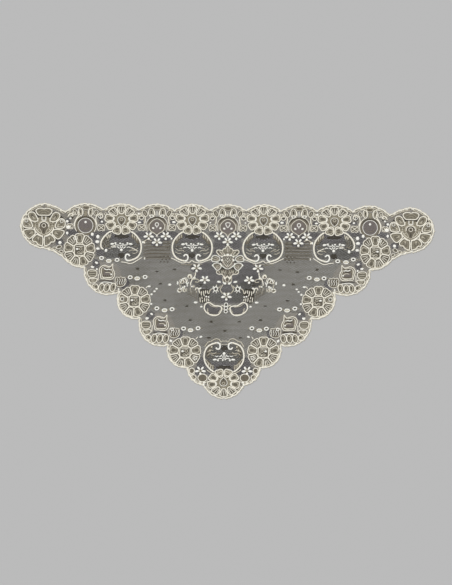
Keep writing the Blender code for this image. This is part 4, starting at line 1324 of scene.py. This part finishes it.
# ---------------------------------------------------------------- open net between the motifs of the border
OPEN_TABLE = (
    # x,     y,      half_w, half_h, turn
    (301.5, 161.0, 19.0, 7.0, 0),
    (210.0, 157.5, 14.0, 9.0, 0),
    (132.5, 156.5, 13.0, 10.0, 0),
    (36.0, 160.0, 9.0, 10.0, 0),
    (22.0, 135.0, 13.0, 12.0, 0),
    (386.5, 187.0, 8.0, 7.0, 0),
    (384.0, 160.0, 8.0, 8.0, 0),
    (304.5, 188.0, 8.0, 5.5, 0),
    (212.5, 187.0, 8.0, 6.5, 0),
    (131.5, 188.0, 8.0, 5.5, 0),
    (323.0, 145.0, 13.0, 18.0, 0),
    (317.0, 86.0, 9.0, 12.0, 0),
    (54.5, -154.0, 11.0, 16.0, 0),
    (38.0, -167.0, 12.0, 10.0, 0),
    (181.5, -37.6, 11.0, 11.0, 0),
    (371.0, 161.0, 11.0, 9.0, 0),
    (404.0, 136.0, 10.0, 9.0, 0),
    (36.5, -173.0, 8.0, 8.0, 0),
    (247.0, 40.0, 12.0, 14.0, 0),
    (113.0, -82.0, 12.0, 14.0, 0),
    (171.0, 163.0, 20.0, 8.0, 0),
)
OPEN_SPOTS.extend(OPEN_TABLE)

# ---------------------------------------------------------------- lines inside the rim
def along_rim(lace, first, last, distance, style, finish, trim=3.0, wave=0.0, alone=False):
    """A cord that follows part of the rim at a distance inside it."""
    run = inset(distance)[first : last + 1]
    line = polyline(run, False, 2.2)
    keep = max(int(trim / 2.2), 0)
    line = line[keep : len(line) - keep] if keep else line
    if len(line) < 4:
        return
    if wave:
        ahead = np.gradient(line, axis=0)
        ahead /= np.linalg.norm(ahead, axis=1)[:, None]
        line = line + np.stack([-ahead[:, 1], ahead[:, 0]], axis=1) * (wave * np.sin(np.arange(len(line)) * 1.6))[:, None]
    tube(lace, line, style, finish, False, alone)


SECTIONS = (
    # piece, from,            to,              distances
    (top_gimp, "crest_end", "top_1", (6.2,)),
    (top_gimp, "top_1", "top_2", (6.2,)),
    (top_gimp, "top_2", "top_3", (6.2,)),
    (top_gimp, "top_3", "top_4", (6.2,)),
    (tip_gimp, "top_4", "tip_a", (6.0,)),
    (tip_gimp, "tip_a", "tip_b", (6.0,)),
    (tip_gimp, "tip_b", "tip_c", (6.0,)),
    (tip_gimp, "tip_c", "tip_d", (6.0,)),
    (side_gimp, "tip_d", "side_flower_1", (5.6,)),
    (side_gimp, "side_flower_1", "side_bud_1", (5.6,)),
    (side_gimp, "side_bud_1", "side_flower_2", (5.6,)),
    (side_gimp, "side_flower_2", "side_bud_2", (5.6,)),
    (side_gimp, "side_bud_2", "side_flower_3", (5.6,)),
    (point_gimp, "side_flower_3", "corner", (5.6,)),
)
for piece, first, last, distances in SECTIONS:
    for distance in distances:
        along_rim(piece, corner[first], corner[last], distance, "fine", GIMP_WARM, trim=4.5, wave=0.5)
for distance in (6.2,):
    run = inset(distance)[: corner["crest_end"] + 1]
    whole = np.concatenate([run[::-1] * (-1, 1), run[1:]])
    tube(top_gimp, polyline(whole, False, 2.2)[2:-2], "fine", GIMP_WARM, False, True)
run = inset(5.6)[corner["corner"] :]
whole = np.concatenate([run, (run * (-1, 1))[::-1][1:]])
tube(point_gimp, polyline(whole, False, 2.2)[2:-2], "fine", GIMP_WARM, False, True)


def ladder(lace, first, last, near, far, alone=False):
    """Short strokes across the border, between two lines inside the rim."""
    a, b = inset(near)[first : last + 1], inset(far)[first : last + 1]
    length = np.linalg.norm(np.diff(a, axis=0), axis=1).sum()
    count = max(int(length / 5.2), 2)
    t = np.linspace(0.5, len(a) - 1.5, count)
    k = np.arange(len(a))
    for j, where in enumerate(t):
        p = np.array([np.interp(where, k, a[:, 0]), np.interp(where, k, a[:, 1])])
        q = np.array([np.interp(where, k, b[:, 0]), np.interp(where, k, b[:, 1])])
        q = p + (q - p) * (1.0 if j % 2 else 0.7)
        tube(lace, np.stack([p, (p + q) / 2, q]), "hair", TOILE_PALE, False, alone)


for piece, first, last, _ in SECTIONS:
    ladder(piece, corner[first], corner[last], 3.4, 9.4)
for name, x, y, rows in (
    (tip_gimp, 406.0, 125.0, ((0.0, 0.0, 2.6, 1.7, 25), (-4.6, -1.6, 2.0, 1.4, 10), (2.4, -4.6, 2.0, 1.3, -20), (-9.4, -2.4, 1.7, 1.2, 0))),
    (top_gimp, 380.0, 204.0, ((0.0, 0.0, 1.9, 1.4, 30), (3.6, 1.8, 1.7, 1.2, 0))),
    (top_gimp, 301.5, 207.0, ((-2.4, 0.6, 1.5, 1.1, 0), (2.4, 0.6, 1.5, 1.1, 0))),
    (top_gimp, 214.5, 208.0, ((-2.4, 0.4, 1.5, 1.1, 0), (2.4, 0.4, 1.5, 1.1, 0))),
    (top_gimp, 129.5, 207.0, ((-2.4, 0.6, 1.5, 1.1, 0), (2.4, 0.6, 1.5, 1.1, 0))),
    (top_gimp, 43.5, 207.5, ((-2.2, 0.6, 1.5, 1.1, 0), (2.2, 0.6, 1.5, 1.1, 0))),
):
    pen = Pen(name, x, y)
    for px, py, rx, ry, turn in rows:
        pen.fill([pen.oval_points(px, py, rx, ry, turn)], TOILE)
        pen.line(pen.oval_points(px, py, rx, ry, turn), "hair", GIMP, closed=True)

# ---------------------------------------------------------------- the corded rim with its picots
edge_top = Lace("edge_cord_top_gimp")
edge_right = Lace("edge_cord_right_gimp")
edge_right.partner = Lace("edge_cord_left_gimp")


def rim_cord(lace, run, alone):
    """The rim's cord with a gentle wave, and a picot loop at every other wave on its outside."""
    line = polyline(run, False, 2.3)
    ahead = np.gradient(line, axis=0)
    ahead /= np.linalg.norm(ahead, axis=1)[:, None]
    out = np.stack([-ahead[:, 1], ahead[:, 0]], axis=1)
    k = np.arange(len(line))
    line = line + out * (0.45 * np.sin(k * 1.15) + 0.45 * np.sin(k * 0.61 + 1.0))[:, None]
    tube(lace, line, "rim", GIMP, False, alone, taper=False)
    for j in range(2, len(line) - 2, 3):
        centre = line[j] + out[j] * 1.35
        a = np.radians(np.array([-20, 35, 90, 145, 200]))
        loop = centre + ahead[j] * (1.5 * np.cos(a))[:, None] + out[j] * (1.25 * np.sin(a))[:, None]
        tube(lace, loop, "picot", GIMP_WARM, False, alone, taper=False)
    inner = line - out * 1.9
    for j in range(4, len(line) - 8, 7):
        tube(lace, inner[j : j + 4], "hair", BRIGHT, False, alone)


tip_corner = corner["top_4"]
cord_line = inset(CORD_WIDTH / 2 + 0.3)
half_run = cord_line[: tip_corner + 1]
rim_cord(edge_top, np.concatenate([half_run[::-1] * (-1, 1), half_run[1:]]), True)
rim_cord(edge_right, cord_line[tip_corner:], False)

# ---------------------------------------------------------------- the weaves
def weave_all():
    """The dark weaves, the fillings on them, and the eyelets in those."""
    for cloth, loops, alone, finish in SHADES:
        ribs(cloth, loops, finish, alone, 1.3, 1.2, 0.0, 0.1, 0.4)
        BARE.append(loops)
    used = [False] * len(SPOTS)
    for lace, loops, finish, alone, turn in FILLS:
        holes = []
        for k, (_, spot, spot_alone) in enumerate(SPOTS):
            middle = spot.mean(axis=0)
            if inside(loops, middle[:1], middle[1:])[0]:
                holes.append(spot)
                used[k] = True
        ribs(lace, loops + holes, finish, alone, 1.6, 1.2, turn, 0.55, 0.5)
        ribs(lace, loops + holes, finish, alone, 3.2, 1.0, turn + math.pi / 2, 0.5, 0.42, 0.5)
    for seen, (cloth, spot, alone) in zip(used, SPOTS):
        if not seen:
            middle = spot.mean(axis=0)
            if not any(inside(loops, middle[:1], middle[1:])[0] for _, loops, _, _ in SHADES):
                ribs(cloth, [spot], SHADE, alone, 1.3, 1.2, 0.0, 0.1, 0.4)
                BARE.append([spot])


weave_all()

# ---------------------------------------------------------------- the nets
PITCH = 3.3
NET_BASE = 0.1
NET_KINDS = {
    # finish: (strand width, height)
    NET: (1.25, 0.78),
    OPEN: (1.68, 0.80),
    DUSK: (1.70, 0.80),
    GROUND: (1.45, 0.82),
}

PANELS = (
    # CAD node,     piece,     usual finish
    ("field_net", field, NET),
    ("band_net", band, NET),
    ("top_border", top, GROUND),
    ("right_border", side, GROUND),
    ("left_border", side_left, GROUND),
    ("right_tip", tip, GROUND),
    ("left_tip", tip_left, GROUND),
    ("point_border", point, GROUND),
)


def node_outline(name):
    """The outline of a flat CAD solid, read from its top face, in the tables' frame."""
    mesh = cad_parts[name].data
    places = np.array([v.co for v in mesh.vertices])
    mesh.calc_loop_triangles()
    level = places[:, 2].max() - 1e-5
    seen = {}
    for tri in mesh.loop_triangles:
        if all(places[i][2] > level for i in tri.vertices):
            keys = [tuple(np.round(places[i][:2] / MM, 3)) for i in tri.vertices]
            for a, b in zip(keys, keys[1:] + keys[:1]):
                if (b, a) in seen:
                    del seen[(b, a)]
                else:
                    seen[(a, b)] = True
    follow = dict(seen.keys())
    start = next(iter(follow))
    loop, here = [start], follow[start]
    while here != start:
        loop.append(here)
        here = follow[here]
    return np.array(loop) - (0.0, SHIFT_Y)


def zone_of(x, y, usual):
    """The finish of the net at each place, or -1 where a filling takes its place."""
    x = np.abs(x)
    found = np.full(x.shape, usual)
    for cx, cy, rx, ry, turn in OPEN_SPOTS:
        found[((x - abs(cx)) / rx) ** 2 + ((y - cy) / ry) ** 2 < 1] = OPEN
    for loop, finish in [(l, OPEN) for l in OPEN_SHAPES] + [(l, DUSK) for l in DUSK_SHAPES]:
        near = (x > loop[:, 0].min()) & (x < loop[:, 0].max()) & (y > loop[:, 1].min()) & (y < loop[:, 1].max())
        if near.any():
            hit = np.zeros(x.shape, bool)
            hit[near] = inside([loop], x[near], y[near])
            found[hit] = finish
    for loops in BARE:
        every = np.concatenate(loops)
        near = (x > every[:, 0].min()) & (x < every[:, 0].max()) & (y > every[:, 1].min()) & (y < every[:, 1].max())
        if near.any():
            hit = np.zeros(x.shape, bool)
            hit[near] = inside(loops, x[near], y[near])
            found[hit] = -1
    return found


def warp(x, y):
    """The net pulled about a little by its motifs, so that no two rows are quite alike."""
    dx = 0.55 * np.sin(x / 23 + y / 41) + 0.35 * np.sin(y / 17 - x / 53)
    dy = 0.50 * np.sin(x / 31 - y / 19) + 0.35 * np.sin(x / 13 + y / 47)
    return dx, dy


def build_nets():
    rows = int(260 / (PITCH * math.sqrt(3) / 2)) + 2
    cols = int(510 / PITCH) + 2
    span_j = np.arange(-rows, rows + 1)
    i_list, j_list = [], []
    for j in span_j:
        first = -cols - j // 2
        i_list.append(np.arange(first, first + 2 * cols + 1))
        j_list.append(np.full(2 * cols + 1, j))
    i, j = np.concatenate(i_list), np.concatenate(j_list)
    cx, cy = i * PITCH + j * PITCH / 2, j * PITCH * math.sqrt(3) / 2
    reach = PITCH / math.sqrt(3)
    key = {}
    places, kinds = [], []
    n = len(i)
    base_xy = np.concatenate([np.stack([cx, cy + reach], 1), np.stack([cx, cy - reach], 1)])
    dx, dy = warp(base_xy[:, 0], base_xy[:, 1])
    xy = base_xy + np.stack([dx, dy], 1) + noise.normal(0, 0.10, base_xy.shape)
    index = {}
    table = {(int(a), int(b)): k for k, (a, b) in enumerate(zip(i, j))}
    # strands: from each A node to three B nodes
    links = []
    for arm, (di, dj) in enumerate(((-1, 2), (-1, 1), (0, 1))):
        to = np.array([table.get((int(a) + di, int(b) + dj), -1) for a, b in zip(i, j)])
        good = np.nonzero(to >= 0)[0]
        links.append(np.stack([good, to[good] + n, np.full(len(good), arm)], 1))
    links = np.concatenate(links)

    owner = np.full(len(xy), -1)
    usual = np.full(len(xy), NET)
    outlines = [node_outline(name) for name, _, _ in PANELS]
    for spread in ((0, 0), (0.5, 0), (-0.5, 0), (0, 0.5), (0, -0.5), (0.9, 0.9), (-0.9, 0.9), (0.9, -0.9), (-0.9, -0.9)):
        for q, loop in enumerate(outlines):
            free = (owner < 0) & (xy[:, 0] > loop[:, 0].min() - 2) & (xy[:, 0] < loop[:, 0].max() + 2)
            free &= (xy[:, 1] > loop[:, 1].min() - 2) & (xy[:, 1] < loop[:, 1].max() + 2)
            where = np.nonzero(free)[0]
            hit = inside([loop], xy[where, 0] + spread[0], xy[where, 1] + spread[1])
            owner[where[hit]] = q
            usual[where[hit]] = PANELS[q][2]
    zone = zone_of(xy[:, 0], xy[:, 1], NET)
    # zone_of gives NET where nothing else is said, which means the panel's usual finish
    zone = np.where(zone == NET, usual, zone)
    owner[zone < 0] = -1

    width = np.zeros(len(xy))
    height = np.zeros(len(xy))
    for finish, (w, h) in NET_KINDS.items():
        width[zone == finish] = w
        height[zone == finish] = h
    width[width == 0] = NET_KINDS[GROUND][0]
    height[height == 0] = NET_KINDS[GROUND][1]
    width *= 1 + noise.normal(0, 0.05, len(xy))

    angles = np.radians(np.array([[90, 210, 330], [270, 30, 150]]))
    corners = np.empty((len(xy), 3, 2))
    for half, rows_of in ((0, slice(0, n)), (1, slice(n, None))):
        for k in range(3):
            a = angles[half][k]
            corners[rows_of, k] = xy[rows_of] - np.array([math.cos(a), math.sin(a)]) * (
                width[rows_of] / math.sqrt(3)
            )[:, None]
    total = 0
    for q, (_, piece, _) in enumerate(PANELS):
        a_own, b_own = owner[links[:, 0]], owner[links[:, 1]]
        holder = np.where(a_own >= 0, a_own, b_own)
        mine = links[holder == q]
        own = np.nonzero(owner == q)[0]
        local = np.full(len(xy), -1)
        local[own] = np.arange(len(own)) * 4
        points = np.empty((len(own), 4, 3))
        points[:, :3, :2] = corners[own]
        points[:, :3, 2] = NET_BASE
        points[:, 3, :2] = xy[own]
        points[:, 3, 2] = NET_BASE + height[own]
        points = [points.reshape(-1, 3)]
        count = len(own) * 4
        quads, tris, quad_finish, tri_finish = [], [], [], []
        # the underside of each knot
        base = local[own]
        tris.append(np.stack([base, base + 2, base + 1], 1))
        tri_finish.append(zone[own])
        arm_used = np.zeros((len(xy), 3), bool)
        ends = []
        for which, column in ((0, 0), (1, 1)):
            node, arm = mine[:, column], mine[:, 2]
            foreign = owner[node] != q
            start = local[node].copy()
            vr = start + (arm + 1) % 3
            vl = start + (arm + 2) % 3
            vt = start + 3
            f = np.nonzero(foreign)[0]
            if len(f):
                fresh = np.empty((len(f), 3, 3))
                fresh[:, 0, :2] = corners[node[f], (arm[f] + 1) % 3]
                fresh[:, 1, :2] = corners[node[f], (arm[f] + 2) % 3]
                fresh[:, :2, 2] = NET_BASE
                fresh[:, 2, :2] = xy[node[f]]
                fresh[:, 2, 2] = NET_BASE + height[node[f]]
                points.append(fresh.reshape(-1, 3))
                at = count + np.arange(len(f)) * 3
                count += 3 * len(f)
                vr[f], vl[f], vt[f] = at, at + 1, at + 2
                # the cut end, facing away from the strand
                tris.append(np.stack([vr[f], vt[f], vl[f]], 1))
                tri_finish.append(zone[mine[f, 1 - column]])
            arm_used[node[~foreign], arm[~foreign]] = True
            ends.append((vr, vl, vt))
        (ra, la, ta), (rb, lb, tb) = ends
        near_finish = np.where(owner[mine[:, 0]] == q, zone[mine[:, 0]], zone[mine[:, 1]])
        for face in ((ta, ra, lb, tb), (la, ta, tb, rb), (ra, la, rb, lb)):
            quads.append(np.stack(face, 1))
            quad_finish.append(near_finish)
        # arms with no strand of this piece are closed off at the knot
        for arm in range(3):
            bare = own[~arm_used[own, arm]]
            start = local[bare]
            tris.append(np.stack([start + (arm + 2) % 3, start + 3, start + (arm + 1) % 3], 1))
            tri_finish.append(zone[bare])
        quads, tris = np.concatenate(quads), np.concatenate(tris)
        piece.quads.append(quads + piece.count)
        piece.quad_finish.append(np.concatenate(quad_finish))
        piece.tris.append(tris + piece.count)
        piece.tri_finish.append(np.concatenate(tri_finish))
        piece.points.append(np.concatenate(points))
        piece.count += count
        total += 2 * len(quads) + len(tris)
    return total


net_triangles = build_nets()


# ---------------------------------------------------------------- meshes
def ripple(x, y):
    """How far the cloth stands off the table where it doesn't lie quite flat."""
    wave = np.sin(x / 47 + 0.6 * np.sin(y / 60)) * np.sin(y / 39 + 0.8 * np.sin(x / 71))
    wave += 0.6 * np.sin(x / 23 - y / 29)
    return 0.25 * np.clip(wave, 0, None) ** 1.5


LIE_ROWS = (-236.0, -200.0, -127.0, -60.0, 0.0, 60.0, 130.0, 195.0, 225.0)
LIE_X = (-2.4, -3.6, -3.2, -1.7, 0.2, 1.7, 1.7, 1.7, 1.7)
LIE_Y = (0.0, 0.2, 1.0, 0.9, 0.9, 0.3, 0.0, -0.2, -1.9)


def lie(x, y):
    """How the cloth is drawn a little askew where it lies: the way each place is moved."""
    aside = np.interp(y, LIE_ROWS, LIE_X) + np.interp(np.abs(x), (320.0, 440.0), (0.0, -1.4))
    skew = np.sign(x) * np.interp(np.abs(x), (0.0, 300.0, 440.0), (0.0, 300.0, 125.0))
    return aside, np.interp(y, LIE_ROWS, LIE_Y) + np.interp(y, (-20.0, 50.0), (0.012, 0.008)) * skew


def make(lace, node):
    """A piece's mesh. It stands for its CAD solid, if it has one."""
    points = np.concatenate(lace.points)
    points[:, 2] += ripple(points[:, 0], points[:, 1])
    aside, up = lie(points[:, 0], points[:, 1])
    points[:, 0] += aside
    points[:, 1] += up
    points[:, 1] += SHIFT_Y
    points *= MM
    quads = np.concatenate(lace.quads) if lace.quads else np.zeros((0, 4), np.int64)
    tris = np.concatenate(lace.tris) if lace.tris else np.zeros((0, 3), np.int64)
    finishes = np.concatenate(lace.quad_finish + lace.tri_finish)
    used = sorted(set(finishes.tolist()))
    mesh = bpy.data.meshes.new(lace.name)
    mesh.vertices.add(len(points))
    mesh.vertices.foreach_set("co", points.astype(np.float32).ravel())
    loops = np.concatenate([quads.ravel(), tris.ravel()])
    mesh.loops.add(len(loops))
    mesh.loops.foreach_set("vertex_index", loops.astype(np.int32))
    sizes = np.concatenate([np.full(len(quads), 4), np.full(len(tris), 3)])
    starts = np.concatenate([[0], np.cumsum(sizes)[:-1]])
    mesh.polygons.add(len(sizes))
    mesh.polygons.foreach_set("loop_start", starts.astype(np.int32))
    for finish in used:
        mesh.materials.append(MATERIALS[finish])
    slots = np.searchsorted(used, finishes)
    mesh.polygons.foreach_set("material_index", slots.astype(np.int32))
    mesh.update(calc_edges=True)
    mesh.validate(verbose=False)
    mesh.shade_smooth()
    mesh.set_sharp_from_angle(angle=math.radians(50))
    piece = bpy.data.objects.new(lace.name, mesh)
    bpy.context.scene.collection.objects.link(piece)
    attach(piece, "root")
    if node:
        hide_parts(node)
    return piece


JOBS = (
    # lace,            CAD node,                slot
    (field, "field_net", "net"),
    (band, "band_net", "net"),
    (top, "top_border", "flower_lace"),
    (side, "right_border", "flower_lace"),
    (side_left, "left_border", "flower_lace"),
    (tip, "right_tip", "flower_lace"),
    (tip_left, "left_tip", "flower_lace"),
    (point, "point_border", "flower_lace"),
    (scrolls["medallion_outer"], "medallion_outer_right", "gimp"),
    (scrolls["medallion_outer"].partner, "medallion_outer_left", "gimp"),
    (scrolls["medallion_inner"], "medallion_inner_right", "gimp"),
    (scrolls["medallion_inner"].partner, "medallion_inner_left", "gimp"),
    (scrolls["medallion_point"], "medallion_point", "gimp"),
    (flower, "centre_flower", "gimp"),
    (crescent, "crescent_right", "gimp"),
    (crescent.partner, "crescent_left", "gimp"),
    (edge_top, "edge_cord_top", "gimp"),
    (edge_right, "edge_cord_right", "gimp"),
    (edge_right.partner, "edge_cord_left", "gimp"),
    (field_gimp, None, "gimp"),
    (band_gimp, None, "gimp"),
    (top_gimp, None, "gimp"),
    (side_gimp, None, "gimp"),
    (side_gimp_left, None, "gimp"),
    (tip_gimp, None, "gimp"),
    (tip_gimp_left, None, "gimp"),
    (point_gimp, None, "gimp"),
)
for lace, node, slot_name in JOBS:
    make(lace, node)
    print(f"piece {lace.name}: {lace.triangles()} triangles")
print("net triangles", net_triangles, "all", sum(job[0].triangles() for job in JOBS))

# ---------------------------------------------------------------- floor, light, camera
floor_mesh = bpy.data.meshes.new("floor")
floor_mesh.from_pydata([(-4, -4, 0), (4, -4, 0), (4, 4, 0), (-4, 4, 0)], [], [(0, 1, 2, 3)])
floor = bpy.data.objects.new("floor", floor_mesh)
bpy.context.scene.collection.objects.link(floor)
floor_finish = bpy.data.materials.new("floor_finish")
floor_finish.use_nodes = True
shader = floor_finish.node_tree.nodes["Principled BSDF"]
shader.inputs["Base Color"].default_value = (0.50, 0.50, 0.50, 1.0)
shader.inputs["Roughness"].default_value = 0.9
shader.inputs["Specular IOR Level"].default_value = 0.1
floor_mesh.materials.append(floor_finish)

world = bpy.data.worlds.new("studio")
bpy.context.scene.world = world
world.use_nodes = True
world.node_tree.nodes["Background"].inputs["Color"].default_value = (1.0, 1.0, 1.0, 1.0)
world.node_tree.nodes["Background"].inputs["Strength"].default_value = 0.55

sun_data = bpy.data.lights.new("key", "SUN")
sun_data.energy = 1.75
sun_data.angle = math.radians(35)
sun = bpy.data.objects.new("key", sun_data)
sun.rotation_euler = (math.radians(-32), math.radians(-22), 0.0)
bpy.context.scene.collection.objects.link(sun)

FRAME_WIDE = 452 * 2.415 * MM
FRAME_TALL = 585 * 2.415 * MM
DISTANCE = 5.0
camera_data = bpy.data.cameras.new("camera")
camera_data.type = "PERSP"
camera_data.sensor_width = 36.0
camera_data.lens = 36.0 * DISTANCE / FRAME_TALL
camera_data.clip_end = 50.0
camera = bpy.data.objects.new("camera", camera_data)
camera.location = (-0.0007, (SHIFT_Y + 8 * 2.415) * MM, DISTANCE)
camera.rotation_euler = (0.0, 0.0, math.radians(0.8))
bpy.context.scene.collection.objects.link(camera)
bpy.context.scene.camera = camera
bpy.context.scene.view_settings.view_transform = "Standard"
